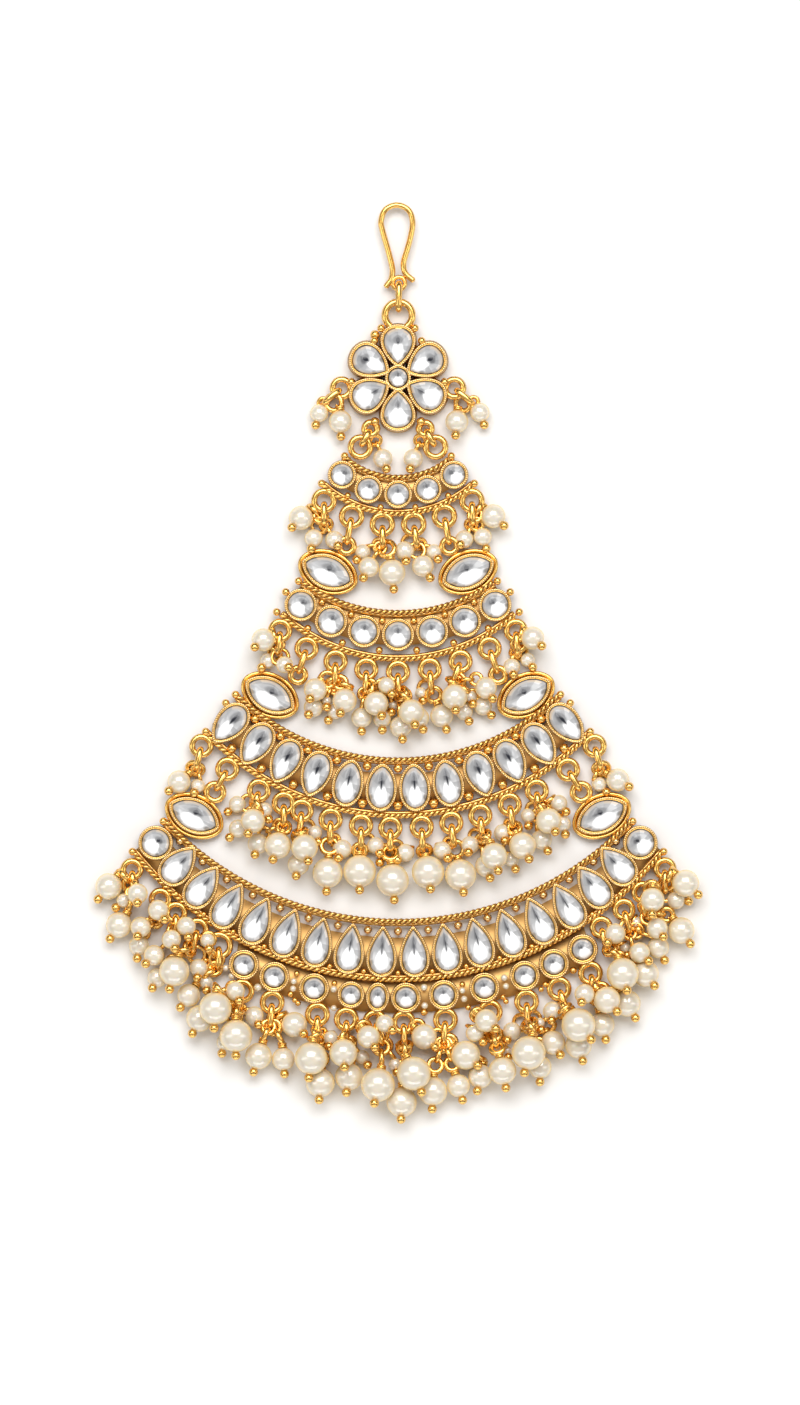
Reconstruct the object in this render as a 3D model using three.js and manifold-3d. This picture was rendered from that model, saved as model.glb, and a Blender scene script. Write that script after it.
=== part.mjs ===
// Passa: a fan-shaped side headpiece of gilt wire, clear foiled stones and pearl drops.
//
// Millimetres. The jewel lies on its back: +Z is the side with the stones, +Y runs from
// the fringe to the hair hook and +X to the right. Places are [across, along] from the
// jewel's axis of symmetry, and the finished group is shifted so that the origin is at the
// bottom centre of its box. Angles are degrees; on an arc they run from straight
// down, to the right.

import * as THREE from 'three';
import { mergeVertices } from 'three/addons/utils/BufferGeometryUtils.js';
import Module from 'manifold-3d';

const wasm = await Module();
wasm.setup();

// Driving sizes.
const MIDDLE = [-0.13, 0.63];    // the middle of the jewel's box
const WIRE_LEVEL = 1.6;          // height of the ropes, rings and hook above the back
const ROPE_WIDTH = 1.3;
const ROPE_HEIGHT = 1.0;
const RING_WIRE = 0.41;          // radius of the wire of the soldered rings
const LINK_WIRE = 0.52;          // radius of the wire of the links
const LINK_HEIGHT = 3.1;
const DROP_LINK_LENGTH = 4.3;
const BEZEL_HEIGHT = 2.6;
const STONE_TOP = 3.0;
const SEAT = 1.1;                // floor of the settings whose stones are loose pieces
const STONE_PLAY = 0.15;         // between a loose stone and its bezel
const PIN = 0.24;                // radius of the headpins and struts
const SKIM = 0.03;               // air left where one pearl rests on another
const NUDGES = 30;               // how often crowded pearls are nudged apart
const TINY = 1.62;               // pearls under this radius take up room but are not made

// How round the small parts are.
const ROPE_SAG = 0.2;            // how far a facet of a rope may leave its arc
const RING_STEPS = 5;
const HOOK_STEPS = 24;

// The rosette: six pear settings, tips inward, round a round one.
const ROSETTE = {
  centre: [0, 47.0], petals: 6,
  bezel: { reach: 5.45, width: 5.9, length: 7.1 },
  stone: { reach: 5.15, width: 4.2, length: 5.7 },
  eye: { bezel: 4.3, stone: 3.0 },
};

// Rings soldered to the rosette: across, along, outer radius.
const ROSETTE_RINGS = {
  bail: [0.1, 57.3, 2.7],
  leftSide: [-9.3, 45.3, 2.0],
  rightSide: [9.3, 45.3, 2.0],
  leftLower: [-4.5, 38.6, 1.6],
  rightLower: [4.5, 38.6, 1.6],
};

// A row of fringe rings on an arc, from columns: angle, lean of the drop link in the ring.
// A ring without a lean holds a link to the next bar.
function ringRow(arc, outer, columns) {
  return columns.map(([angle, lean]) => ({ place: onArc(arc, angle), outer, angle, lean }));
}

function evenly(count, step) {
  return Array.from({ length: count }, (_, i) => step * (i - (count - 1) / 2));
}

// Each bar lies between two rope arcs of [centre along, radius, half angle]. Settings
// stand in rows on arcs; their sizes are those of the bezel, along the row's radius and
// across it. A shoulder ring on each side takes the links from above.
const BARS = [
  {
    ropes: [[43.8, 13.2, 42], [43.1, 18.5, 42.3]],
    rows: [{ shape: 'round', arc: [42.65, 14.95], width: 4.85, length: 5.4, at: evenly(5, 19.2) }],
    rings: ringRow([43.1, 20.4], 2.15, [[-36.7, 0], [-22], [-7.3, 2], [7.3, 9], [22], [36.7, 2]]),
    shoulder: [6.2, 35.6, 2.15],
  },
  {
    ropes: [[35.5, 27.2, 35.2], [29.5, 28.9, 41.9]],
    rows: [{ shape: 'round', arc: [33.25, 28.5], width: 5.4, length: 6.3, at: evenly(7, 11.35) }],
    rings: ringRow([29.5, 31.0], 2.05, [
      [-38.8, -5], [-29.1], [-19.4, -2], [-9.7, -2], [0, 0], [9.7, 5], [19.4, -20], [29.1], [38.8, 4],
    ]),
    shoulder: [8.5, 19.3, 1.75],
    marquise: [11.55, 15.0, 23],
  },
  {
    ropes: [[22.3, 38.3, 43.6], [18.4, 43.6, 46.9]],
    rows: [
      { shape: 'oval', arc: [21.1, 41.7], width: 5.2, length: 8.6, at: evenly(4, 7.58) },
      { shape: 'pearOut', arc: [21.1, 41.7], width: 5.2, length: 8.6, at: [-41.7, -34.1, -26.5, -19.0] },
      { shape: 'pearOut', arc: [21.1, 41.7], width: 5.2, length: 8.6, at: [19.0, 26.5, 34.1, 41.7] },
    ],
    rings: ringRow([18.4, 45.6], 2.05, [
      [-45.3, -13], [-38.1], [-30.2, -15], [-24.4, 0], [-20.4, -5], [-14.1, -2], [-7.7, 0], [-1.6, 0],
      [4.9, 3], [11.1, 7], [17.3, 6], [23.8, 9], [30.1, 5], [37.9], [45.3, 15],
    ]),
    shoulder: [16.5, -2.0, 1.75],
    marquise: [21.1, -5.3, 30],
  },
  {
    ropes: [[10.2, 52.8, 46.6], [3.4, 55.6, 51.6]],
    rows: [
      { shape: 'pearIn', arc: [6.8, 54.3], width: 5.2, length: 9.4, at: evenly(14, 5.6) },
      { shape: 'pearIn', arc: [6.8, 53.9], width: 5.2, length: 8.4, at: [-42, 42] },
      { shape: 'round', arc: [6.8, 54.1], width: 6.4, length: 5.8, at: [-47.4, 47.4] },
      {
        shape: 'round', arc: [6.8, 61.8], width: 5.4, length: 5.9,
        at: [-24.2, -19.2, -12.9, -7.9, -3.4, 1.2, 7.0, 13.3, 19.7, 24.5, 29.4],
      },
    ],
    rings: [
      ...ringRow([3.4, 57.7], 1.95, [[-49.5, 5], [-42.8, 0], [-39.4, 0], [-35.0, -12]]),
      ...ringRow([3.4, 58.1], 2.4, [[-30.6, 1]]),
      ...ringRow([6.8, 65.9], 2.05, [
        [-22.9, -15], [-18.3, -5], [-11.6, 0], [-7.4, 0], [-3.3, 18], [0.8, 2], [6.8, -5], [13.3, 5],
        [18.7, 3], [23.7, 20], [28.7, 15],
      ]),
      ...ringRow([3.4, 57.7], 1.95, [[35.5, 15], [40.2, 15], [44.4, 5], [49.7, 0]]),
    ],
    shoulder: [30.2, -21.3, 1.95],
    marquise: [33.6, -25.2, 27],
  },
];

// The bezel and stone of the marquise on each side of the lower bars.
const MARQUISE = { bezel: { width: 6.2, length: 9.4 }, stone: { width: 4.3, length: 7.6 } };

// The hair hook's wire from the tip of one foot, over the loop, to the tip of the other.
const HOOK_WIRE = 0.4;
const HOOK_EYE = [0.15, 62.6, 1.45];
const HOOK_LINK_LENGTH = 5.4;
const HOOK_ROUTE = [
  [-2.05, 61.95], [-1.15, 63.2], [-0.9, 64.6], [-1.65, 68.1], [-2.75, 72.0], [-2.2, 74.5],
  [-0.2, 75.55], [1.8, 74.5], [2.35, 72.0], [1.5, 68.1], [0.95, 65.6], [1.4, 63.9], [2.65, 63.0],
];

// The drops of each tier's fringe, in stretches of neighbours. A stretch hangs from some
// of its bar's rings, counted from the left. A pearl is [layer, across, along, radius];
// a higher layer lies on top of a lower one.
const FRINGES = [
  [
    { rings: [0], pearls: [[1, -16.0, 23.9, 2.0], [0, -13.9, 20.6, 1.5], [0, -10.5, 20.3, 1.5]] },
    { rings: [2], pearls: [[0, -5.8, 18.3, 1.3], [1, -4.8, 15.8, 1.7], [1, -1.0, 14.9, 2.2]] },
    { rings: [3], pearls: [[0, 1.2, 18.5, 1.6], [1, 4.1, 16.0, 1.8], [0, 5.9, 18.3, 1.3]] },
    { rings: [5], pearls: [[0, 11.0, 20.4, 1.5], [0, 13.9, 20.8, 1.5], [1, 15.7, 24.2, 2.0]] },
  ],
  [
    { rings: [0], pearls: [[1, -22.2, 3.8, 1.9], [0, -21.1, 0.5, 1.3], [1, -18.7, -0.3, 1.4]] },
    {
      rings: [2],
      pearls: [
        [1, -13.6, -4.4, 1.9], [0, -13.9, -7.3, 1.6], [0, -11.8, -6.3, 0.8], [1, -8.8, -6.2, 2.0],
        [0, -10.4, -8.0, 1.3],
      ],
    },
    {
      rings: [3],
      pearls: [
        [0, -6.0, -9.0, 1.7], [1, -3.6, -6.7, 2.0], [2, -1.9, -3.7, 1.4], [0, -0.8, -7.0, 0.9],
        [0, -2.3, -9.3, 1.5],
      ],
    },
    { rings: [4], pearls: [[0, 0.6, -10.2, 1.8], [1, 2.2, -8.1, 2.1], [0, 3.1, -9.2, 1.6]] },
    { rings: [5], pearls: [[0, 3.8, -5.0, 1.0], [0, 7.2, -8.7, 1.9]] },
    {
      rings: [6],
      pearls: [
        [1, 9.3, -5.6, 2.1], [0, 11.0, -8.0, 1.4], [1, 14.5, -4.1, 1.8], [0, 13.5, -6.8, 1.5],
        [0, 12.5, -5.9, 1.0],
      ],
    },
    { rings: [8], pearls: [[0, 19.0, -0.2, 1.4], [0, 21.4, 0.5, 1.2], [1, 22.2, 4.1, 1.9]] },
  ],
  [
    { rings: [0], pearls: [[0, -36.1, -19.6, 1.9], [0, -33.0, -20.3, 1.2]] },
    {
      rings: [2],
      pearls: [
        [0, -26.5, -23.3, 1.4], [1, -23.9, -26.0, 2.0], [0, -21.4, -24.0, 1.3], [0, -26.4, -27.3, 1.5],
      ],
    },
    {
      rings: [3, 4],
      pearls: [
        [0, -23.1, -29.8, 1.7], [1, -19.8, -30.1, 2.2], [1, -15.4, -30.4, 2.2], [0, -16.4, -33.2, 1.8],
        [0, -13.7, -28.0, 1.2],
      ],
    },
    { rings: [5], pearls: [[0, -11.6, -34.6, 2.5], [1, -9.2, -30.7, 1.6]] },
    {
      rings: [6, 7],
      pearls: [
        [0, -6.3, -33.9, 2.7], [1, -3.7, -30.1, 1.4], [0, -2.6, -32.2, 0.8], [0, -0.9, -35.8, 2.7],
        [1, 1.2, -31.3, 1.5],
      ],
    },
    { rings: [8], pearls: [[0, 4.9, -34.3, 2.7]] },
    { rings: [9], pearls: [[0, 10.4, -34.9, 2.6], [1, 7.3, -30.9, 1.5]] },
    {
      rings: [10, 11],
      pearls: [
        [1, 15.8, -31.8, 2.2], [0, 14.4, -33.5, 1.8], [1, 11.9, -30.0, 1.5], [1, 20.5, -30.1, 2.2],
        [1, 17.2, -28.0, 1.4], [0, 18.7, -32.4, 1.2],
      ],
    },
    {
      rings: [12],
      pearls: [
        [1, 24.8, -26.0, 2.1], [0, 21.7, -25.2, 1.2], [0, 26.8, -22.9, 1.4], [0, 23.7, -29.1, 1.7],
        [0, 27.2, -26.5, 1.3],
      ],
    },
    { rings: [14], pearls: [[0, 33.2, -20.0, 1.2], [0, 36.2, -19.3, 1.9]] },
  ],
  [
    {
      rings: [0, 1],
      pearls: [
        [0, -47.4, -37.1, 2.2], [0, -45.5, -38.9, 1.2], [1, -42.9, -38.0, 1.7], [0, -46.0, -43.2, 2.15],
        [1, -42.4, -43.5, 1.7], [0, -42.7, -46.6, 1.65], [2, -39.5, -40.7, 1.7],
      ],
    },
    {
      rings: [2, 3],
      pearls: [
        [1, -40.0, -48.3, 1.7], [0, -39.7, -51.9, 1.6], [2, -37.3, -45.5, 1.6], [1, -36.7, -50.6, 2.5],
        [2, -34.9, -43.4, 1.6], [1, -33.2, -50.3, 1.5],
      ],
    },
    {
      rings: [4, 5],
      pearls: [
        [2, -31.4, -45.7, 1.2], [2, -30.0, -56.8, 2.7], [0, -32.7, -58.6, 2.2], [1, -34.5, -54.8, 1.9],
        [0, -31.7, -52.6, 1.2], [2, -26.9, -54.1, 1.6], [1, -26.7, -61.4, 2.7], [0, -28.5, -62.5, 1.4],
        [1, -23.7, -58.2, 1.6],
      ],
    },
    {
      rings: [6, 7],
      pearls: [
        [0, -23.0, -64.8, 2.2], [0, -18.9, -65.3, 1.9], [2, -17.1, -59.6, 2.1], [1, -14.3, -65.1, 2.7],
        [0, -12.8, -69.2, 2.4], [0, -11.1, -61.9, 1.3],
      ],
    },
    {
      rings: [8, 9],
      pearls: [
        [1, -9.0, -64.2, 2.3], [0, -8.1, -68.2, 2.3], [2, -4.9, -61.6, 1.9], [0, -5.9, -65.0, 1.2],
        [2, -2.2, -59.4, 1.5], [1, -3.3, -69.5, 2.8], [0, -0.4, -66.2, 1.1],
      ],
    },
    {
      rings: [10, 11],
      pearls: [
        [1, 2.6, -67.6, 2.8], [0, 0.6, -72.4, 2.5], [2, 4.3, -61.6, 2.1], [0, 6.1, -70.5, 2.4],
        [0, 10.0, -69.6, 1.9], [1, 11.2, -64.5, 2.4], [0, 13.2, -68.3, 2.0],
      ],
    },
    {
      rings: [12, 13],
      pearls: [
        [2, 14.5, -58.9, 1.9], [1, 12.6, -61.1, 1.5], [1, 17.2, -67.2, 2.3], [0, 18.8, -60.7, 1.5],
        [1, 21.5, -64.2, 2.8], [0, 23.4, -66.6, 1.9], [0, 18.0, -64.0, 0.8], [0, 23.4, -59.4, 0.9],
      ],
    },
    {
      rings: [14, 15],
      pearls: [
        [2, 25.5, -57.4, 1.6], [0, 25.6, -62.6, 2.0], [1, 29.7, -59.6, 2.8], [0, 29.7, -63.0, 2.2],
        [2, 30.7, -54.5, 1.65], [1, 34.4, -55.5, 2.2], [0, 33.7, -59.6, 2.0], [0, 37.8, -56.1, 2.2],
      ],
    },
    {
      rings: [16, 17, 18, 19],
      pearls: [
        [1, 37.0, -51.2, 2.65], [0, 40.8, -51.2, 2.2], [2, 35.8, -44.6, 1.7], [0, 39.5, -41.9, 1.0],
        [1, 39.8, -47.7, 1.7], [0, 42.9, -46.9, 1.8], [1, 42.7, -43.7, 1.75], [0, 37.5, -47.0, 1.0],
        [2, 41.9, -39.0, 2.0], [0, 45.2, -38.8, 1.5], [1, 47.4, -36.3, 2.25], [0, 46.7, -44.1, 2.2],
      ],
    },
  ],
];

// The drops on the rosette: two on a link in each side ring.
const ROSETTE_DROPS = [
  { name: 'left', ring: [-9.3, 45.3], lean: -50, pearls: [[1, -9.5, 39.8, 1.9], [0, -13.0, 41.2, 1.5]] },
  { name: 'right', ring: [9.3, 45.3], lean: 50, pearls: [[1, 9.7, 39.8, 1.9], [0, 13.5, 41.3, 1.6]] },
];

// The links from above each bar, in order.
const LINK_LENGTHS = [3.6, 4.9, 4.5, 4.2];

const gold = new THREE.MeshStandardMaterial({ color: 0xd8a13c, roughness: 0.22, metalness: 1 });
const crystal = new THREE.MeshStandardMaterial({ color: 0xdde1e6, roughness: 0.05, metalness: 0.2 });
const pearl = new THREE.MeshStandardMaterial({ color: 0xf2e9da, roughness: 0.3, metalness: 0 });

const headpiece = new THREE.Group();
headpiece.position.set(-MIDDLE[0], -MIDDLE[1], 0);

function radians(degrees) {
  return degrees * Math.PI / 180;
}

// A place on an arc that hangs below its centre.
function onArc([centreAlong, radius], angle) {
  return [radius * Math.sin(radians(angle)), centreAlong - radius * Math.cos(radians(angle))];
}

// A place at a distance from another, straight down or leaning from it.
function below([across, along], distance, lean) {
  return onArc([along, distance], lean).map((value, i) => (i === 0 ? value + across : value));
}

// A closed geometry as a solid that can be joined and cut.
function solid(geometry) {
  geometry.deleteAttribute('normal');
  geometry.deleteAttribute('uv');
  const merged = mergeVertices(geometry);
  return new wasm.Manifold(new wasm.Mesh({
    numProp: 3,
    vertProperties: new Float32Array(merged.attributes.position.array),
    triVerts: new Uint32Array(merged.index.array),
  }));
}

function joined(solids) {
  return solids.reduce((whole, piece) => whole.add(piece));
}

function addPiece(name, shape, material) {
  const { vertProperties, triVerts } = shape.getMesh();
  const geometry = new THREE.BufferGeometry();
  geometry.setAttribute('position', new THREE.BufferAttribute(vertProperties, 3));
  geometry.setIndex(new THREE.BufferAttribute(triVerts, 1));
  geometry.computeVertexNormals();
  const mesh = new THREE.Mesh(geometry, material);
  mesh.name = name;
  headpiece.add(mesh);
}

// A wire's section with four corners. The height is measured upright.
function fourCornered(height, width) {
  return new THREE.Shape([
    new THREE.Vector2(height / 2, width / 2), new THREE.Vector2(-height / 2, width / 2),
    new THREE.Vector2(-height / 2, -width / 2), new THREE.Vector2(height / 2, -width / 2),
  ]);
}

class ArcPath extends THREE.Curve {
  constructor(arc) {
    super();
    this.arc = arc;
  }

  getPoint(t) {
    const [across, along] = onArc(this.arc, this.arc[2] * (2 * t - 1));
    return new THREE.Vector3(across, along, WIRE_LEVEL);
  }
}

// A rope wire. Its corners stand a little outside the arc, as its facets cut inside.
function rope([centreAlong, radius, halfAngle]) {
  const steps = Math.ceil(radians(halfAngle) / Math.acos(1 - ROPE_SAG / radius));
  const extrudePath = new ArcPath([centreAlong, radius + ROPE_SAG / 2, halfAngle]);
  return solid(new THREE.ExtrudeGeometry(fourCornered(ROPE_HEIGHT, ROPE_WIDTH), { steps, extrudePath }));
}

// A ring lying flat, by its outer radius. One of its corners points up the jewel, turned
// by the angle of the arc that it is soldered to.
function ring([across, along], outer, angle = 0) {
  const geometry = new THREE.TorusGeometry(outer - RING_WIRE, RING_WIRE, 3, RING_STEPS);
  return solid(geometry.rotateZ(radians(angle + 90)).translate(across, along, WIRE_LEVEL));
}

function ovalOutline(width, length) {
  return new THREE.Shape().absellipse(0, 0, width / 2, length / 2, Math.PI / 2, 5 * Math.PI / 2);
}

// A drop shape with its tip up: a half circle below and two straight sides that meet above.
function pearOutline(width, length) {
  const half = width / 2;
  const bulb = half - length / 2;
  const shape = new THREE.Shape().moveTo(0, length / 2).lineTo(-0.9 * half, bulb + 0.6 * half);
  shape.absarc(0, bulb, half, Math.PI, 2 * Math.PI, false);
  return shape.lineTo(0.9 * half, bulb + 0.6 * half);
}

// A boat shape lying across, pointed at both ends.
function marquiseOutline(width, length) {
  const end = length / 2;
  const belly = width * 2 / 3;
  const shape = new THREE.Shape();
  shape.moveTo(-end, 0);
  shape.bezierCurveTo(-0.62 * end, -belly, 0.62 * end, -belly, end, 0);
  shape.bezierCurveTo(0.62 * end, belly, -0.62 * end, belly, -end, 0);
  return shape;
}

// The outlines of settings and stones, with the turn and roundness that suit each.
const OUTLINES = {
  round: { outline: ovalOutline, turn: 0, curveSegments: 3 },
  oval: { outline: ovalOutline, turn: 0, curveSegments: 4 },
  pearIn: { outline: pearOutline, turn: 0, curveSegments: 2 },
  pearOut: { outline: pearOutline, turn: 180, curveSegments: 2 },
  marquise: { outline: marquiseOutline, turn: 0, curveSegments: 3 },
};

// A straight wall between two heights, on an outline that is turned and put in its place.
function prism(shape, { width, length }, base, top, place, turn) {
  const { outline, turn: ownTurn, curveSegments } = OUTLINES[shape];
  const geometry = new THREE.ExtrudeGeometry(outline(width, length), {
    depth: top - base, bevelEnabled: false, curveSegments,
  });
  return solid(geometry.translate(0, 0, base).rotateZ(radians(turn + ownTurn)).translate(...place, 0));
}

// A stone for a cut-out seat: a girdle between two slopes and a flat table.
function looseStone(shape, { width, length }, place, turn) {
  const { outline, turn: ownTurn, curveSegments } = OUTLINES[shape];
  const slope = 0.6;
  const geometry = new THREE.ExtrudeGeometry(outline(width, length), {
    depth: STONE_TOP - SEAT - STONE_PLAY - 2 * slope, bevelThickness: slope, bevelSize: slope,
    bevelOffset: -slope, bevelSegments: 1, curveSegments,
  });
  geometry.translate(0, 0, SEAT + STONE_PLAY + slope).rotateZ(radians(turn + ownTurn));
  return solid(geometry.translate(...place, 0));
}

// A bezel with a cut-out for a loose stone.
function tray(shape, bezel, stone, place, stonePlace, turn) {
  const play = 2 * STONE_PLAY;
  const well = { width: stone.width + play, length: stone.length + play };
  return prism(shape, bezel, 0, BEZEL_HEIGHT, place, turn)
    .subtract(prism(shape, well, SEAT, STONE_TOP, stonePlace, turn));
}

// An upright link of wire, half way between two places: a ring with its halves drawn apart.
function link([fromX, fromY], [toX, toY], length, steps) {
  const outer = LINK_HEIGHT / 2 / Math.cos(Math.PI / steps);
  const geometry = new THREE.TorusGeometry(outer - LINK_WIRE, LINK_WIRE, 3, steps);
  const { position } = geometry.rotateZ(Math.PI / steps).attributes;
  for (let i = 0; i < position.count; i += 1) {
    const x = position.getX(i);
    position.setX(i, x + Math.sign(x) * (length - LINK_HEIGHT) / 2);
  }
  geometry.rotateX(Math.PI / 2).rotateZ(Math.atan2(toY - fromY, toX - fromX));
  return solid(geometry.translate((fromX + toX) / 2, (fromY + toY) / 2, WIRE_LEVEL));
}

// A straight three-sided wire that may taper, between two points in space.
function strut(from, to, tip = PIN) {
  const start = new THREE.Vector3(...from);
  const span = new THREE.Vector3(...to).sub(start);
  const geometry = new THREE.CylinderGeometry(tip, PIN, span.length(), 3);
  const lie = new THREE.Quaternion();
  lie.setFromUnitVectors(new THREE.Vector3(0, 1, 0), span.clone().normalize());
  geometry.translate(0, span.length() / 2, 0).applyQuaternion(lie);
  return solid(geometry.translate(start.x, start.y, start.z));
}

// The solder between a ring and what carries it.
function solder([across, along, outer], carrier) {
  const distance = Math.hypot(carrier[0] - across, carrier[1] - along);
  const share = (outer - RING_WIRE) / distance;
  const start = [across + share * (carrier[0] - across), along + share * (carrier[1] - along)];
  return strut([...start, WIRE_LEVEL], [...carrier, 0.4]);
}

function hairHook() {
  const route = new THREE.CatmullRomCurve3(
    HOOK_ROUTE.map(([across, along]) => new THREE.Vector3(across, along, WIRE_LEVEL)));
  const section = fourCornered(2 * HOOK_WIRE, 2 * HOOK_WIRE);
  const wire = new THREE.ExtrudeGeometry(section, { steps: HOOK_STEPS, extrudePath: route });
  return joined([solid(wire), ring(HOOK_EYE, HOOK_EYE[2])]);
}

// A place at a distance from the rosette's centre, in the direction of a petal.
function onPetal(reach, out) {
  const [across, along] = ROSETTE.centre;
  return [across + reach * Math.cos(radians(out)), along + reach * Math.sin(radians(out))];
}

function rosette() {
  const { centre, bezel, stone, eye } = ROSETTE;
  const eyeBezel = { width: eye.bezel, length: eye.bezel };
  const eyeStone = { width: eye.stone, length: eye.stone };
  const pieces = [tray('round', eyeBezel, eyeStone, centre, centre, 0)];
  for (const out of PETALS) {
    const [place, stonePlace] = [onPetal(bezel.reach, out), onPetal(stone.reach, out)];
    pieces.push(tray('pearIn', bezel, stone, place, stonePlace, out + 90));
  }
  for (const [across, along, outer] of Object.values(ROSETTE_RINGS)) {
    pieces.push(ring([across, along], outer));
    if (along < centre[1]) {
      pieces.push(solder([across, along, outer], centre));
    }
  }
  return joined(pieces);
}

// The place on an arc that is nearest to another place.
function nearestOn([centreAlong, radius], [across, along]) {
  const angle = Math.atan2(across, centreAlong - along) * 180 / Math.PI;
  return onArc([centreAlong, radius], angle);
}

// All that is soldered to a bar: ropes, settings with their stones, rings, marquises.
function bar({ ropes, rows, rings, shoulder, marquise }) {
  const pieces = ropes.map(rope);
  for (const row of rows) {
    for (const angle of row.at) {
      pieces.push(prism(row.shape, row, 0, BEZEL_HEIGHT, onArc(row.arc, angle), angle));
    }
  }
  for (const { place, outer, angle } of rings) {
    pieces.push(ring(place, outer, angle));
  }
  for (const side of [-1, 1]) {
    const eye = [side * shoulder[0], shoulder[1], shoulder[2]];
    let carrier = nearestOn(ropes[0], eye);
    if (marquise) {
      const [across, along, turn] = marquise;
      carrier = [side * across, along];
      pieces.push(tray('marquise', MARQUISE.bezel, MARQUISE.stone, carrier, carrier, side * turn));
      pieces.push(strut([...carrier, 0.3], [...nearestOn(ropes[0], carrier), 1.3]));
    }
    pieces.push(ring(eye, eye[2]));
    pieces.push(solder(eye, carrier));
  }
  return joined(pieces);
}

// What lies under the drops, as upright posts: across, along, radius, top.
function groundworks() {
  const posts = [];
  for (const { ropes, rows, rings } of BARS) {
    for (const arc of ropes) {
      for (let angle = -arc[2]; angle <= arc[2]; angle += 1) {
        posts.push([...onArc(arc, angle), ROPE_WIDTH / 2, WIRE_LEVEL + ROPE_HEIGHT / 2]);
      }
    }
    for (const { arc, at, width } of rows.filter((row) => row.shape === 'round')) {
      for (const angle of at) {
        posts.push([...onArc(arc, angle), width / 2, STONE_TOP]);
      }
    }
    for (const { place, outer, lean } of rings) {
      posts.push([...place, outer, WIRE_LEVEL + RING_WIRE]);
      for (const share of [0, 0.5, 1]) {
        posts.push([...below(place, share * DROP_LINK_LENGTH, lean ?? 0), LINK_WIRE, LINK_HEIGHT + 0.1]);
      }
    }
  }
  return posts;
}

// Pearls of one layer that overlap are nudged apart sideways. Those of the lowest layer
// are nudged off the posts too.
function nudge(pearls, posts) {
  pearls.forEach((drop, i) => {
    for (const other of pearls.slice(0, i).filter(({ layer }) => layer === drop.layer)) {
      const [across, along] = [drop.across - other.across, drop.along - other.along];
      const apart = Math.hypot(across, along);
      const push = Math.max(0, drop.radius + other.radius + SKIM - apart) / apart / 2;
      drop.across += push * across;
      drop.along += push * along;
      other.across -= push * across;
      other.along -= push * along;
    }
    for (const [postAcross, postAlong, radius] of drop.layer === 0 ? posts : []) {
      const [across, along] = [drop.across - postAcross, drop.along - postAlong];
      const apart = Math.hypot(across, along);
      const push = Math.max(0, drop.radius + radius + SKIM - apart) / apart;
      drop.across += push * across;
      drop.along += push * along;
    }
  });
}

// Each pearl comes down until it rests on the table, a post or a pearl of a lower layer.
function settle(stretches) {
  const posts = groundworks();
  const pearls = stretches.flatMap(({ name, pearls: rows }) =>
    rows.map(([layer, across, along, radius]) => ({ name, layer, across, along, radius })));
  pearls.sort((a, b) => a.layer - b.layer);
  for (let pass = 0; pass < NUDGES; pass += 1) {
    nudge(pearls, posts);
  }
  const settled = [];
  for (const drop of pearls) {
    let height = drop.radius;
    for (const [across, along, radius, top] of posts) {
      const aside = Math.max(0, Math.hypot(drop.across - across, drop.along - along) - radius);
      if (aside < drop.radius) {
        height = Math.max(height, top + SKIM + Math.sqrt(drop.radius ** 2 - aside ** 2));
      }
    }
    for (const other of settled) {
      const apart = Math.hypot(drop.across - other.across, drop.along - other.along);
      const touching = drop.radius + other.radius + SKIM;
      if (apart < touching) {
        height = Math.max(height, other.height + Math.sqrt(touching ** 2 - apart ** 2));
      }
    }
    settled.push({ ...drop, height });
  }
  return settled;
}

// A pearl with twenty faces, one corner straight up.
function pearlBall({ across, along, height, radius }) {
  const geometry = new THREE.IcosahedronGeometry(radius, 0).rotateX(Math.atan2(2, 1 + Math.sqrt(5)));
  return solid(geometry.translate(across, along, height));
}

// One stretch of fringe: its links, its pearls, and a headpin from each pearl to the end
// of the nearest link. Where two links share a stretch, their nearest pearls touch.
function stretchOfDrops(hangers, drops) {
  const ends = hangers.map(({ place, lean }) => below(place, DROP_LINK_LENGTH - 0.3, lean));
  const pieces = hangers.map(({ place, lean }) =>
    link(place, below(place, DROP_LINK_LENGTH, lean), DROP_LINK_LENGTH, 4));
  const groups = ends.map(() => []);
  for (const drop of drops) {
    const gaps = ends.map(([across, along]) => Math.hypot(drop.across - across, drop.along - along));
    const nearest = gaps.indexOf(Math.min(...gaps));
    groups[nearest].push(drop);
    pieces.push(pearlBall(drop));
    pieces.push(strut([drop.across, drop.along, drop.height], [...ends[nearest], WIRE_LEVEL], 0));
  }
  for (let i = 1; i < groups.length; i += 1) {
    const pairs = groups[i - 1].flatMap((a) => groups[i].map((b) => {
      const centres = [a, b].map((drop) => new THREE.Vector3(drop.across, drop.along, drop.height));
      return { centres, gap: centres[0].distanceTo(centres[1]) - a.radius - b.radius };
    }));
    const closest = pairs.reduce((best, pair) => (pair.gap < best.gap ? pair : best));
    pieces.push(strut(...closest.centres.map((centre) => centre.toArray())));
  }
  return joined(pieces);
}

const PETALS = Array.from({ length: ROSETTE.petals }, (_, i) => 30 + 60 * i);

addPiece('hair_hook', hairHook(), gold);
addPiece('hook_link', link(HOOK_EYE, [0.1, 58.2], HOOK_LINK_LENGTH, 8), gold);
addPiece('rosette', rosette(), gold);
PETALS.forEach((out, i) => {
  const shape = looseStone('pearIn', ROSETTE.stone, onPetal(ROSETTE.stone.reach, out), out + 90);
  addPiece(`petal_stone_${i + 1}`, shape, crystal);
});
const eyeStone = { width: ROSETTE.eye.stone, length: ROSETTE.eye.stone };
addPiece('centre_stone', looseStone('round', eyeStone, ROSETTE.centre, 0), crystal);

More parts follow.
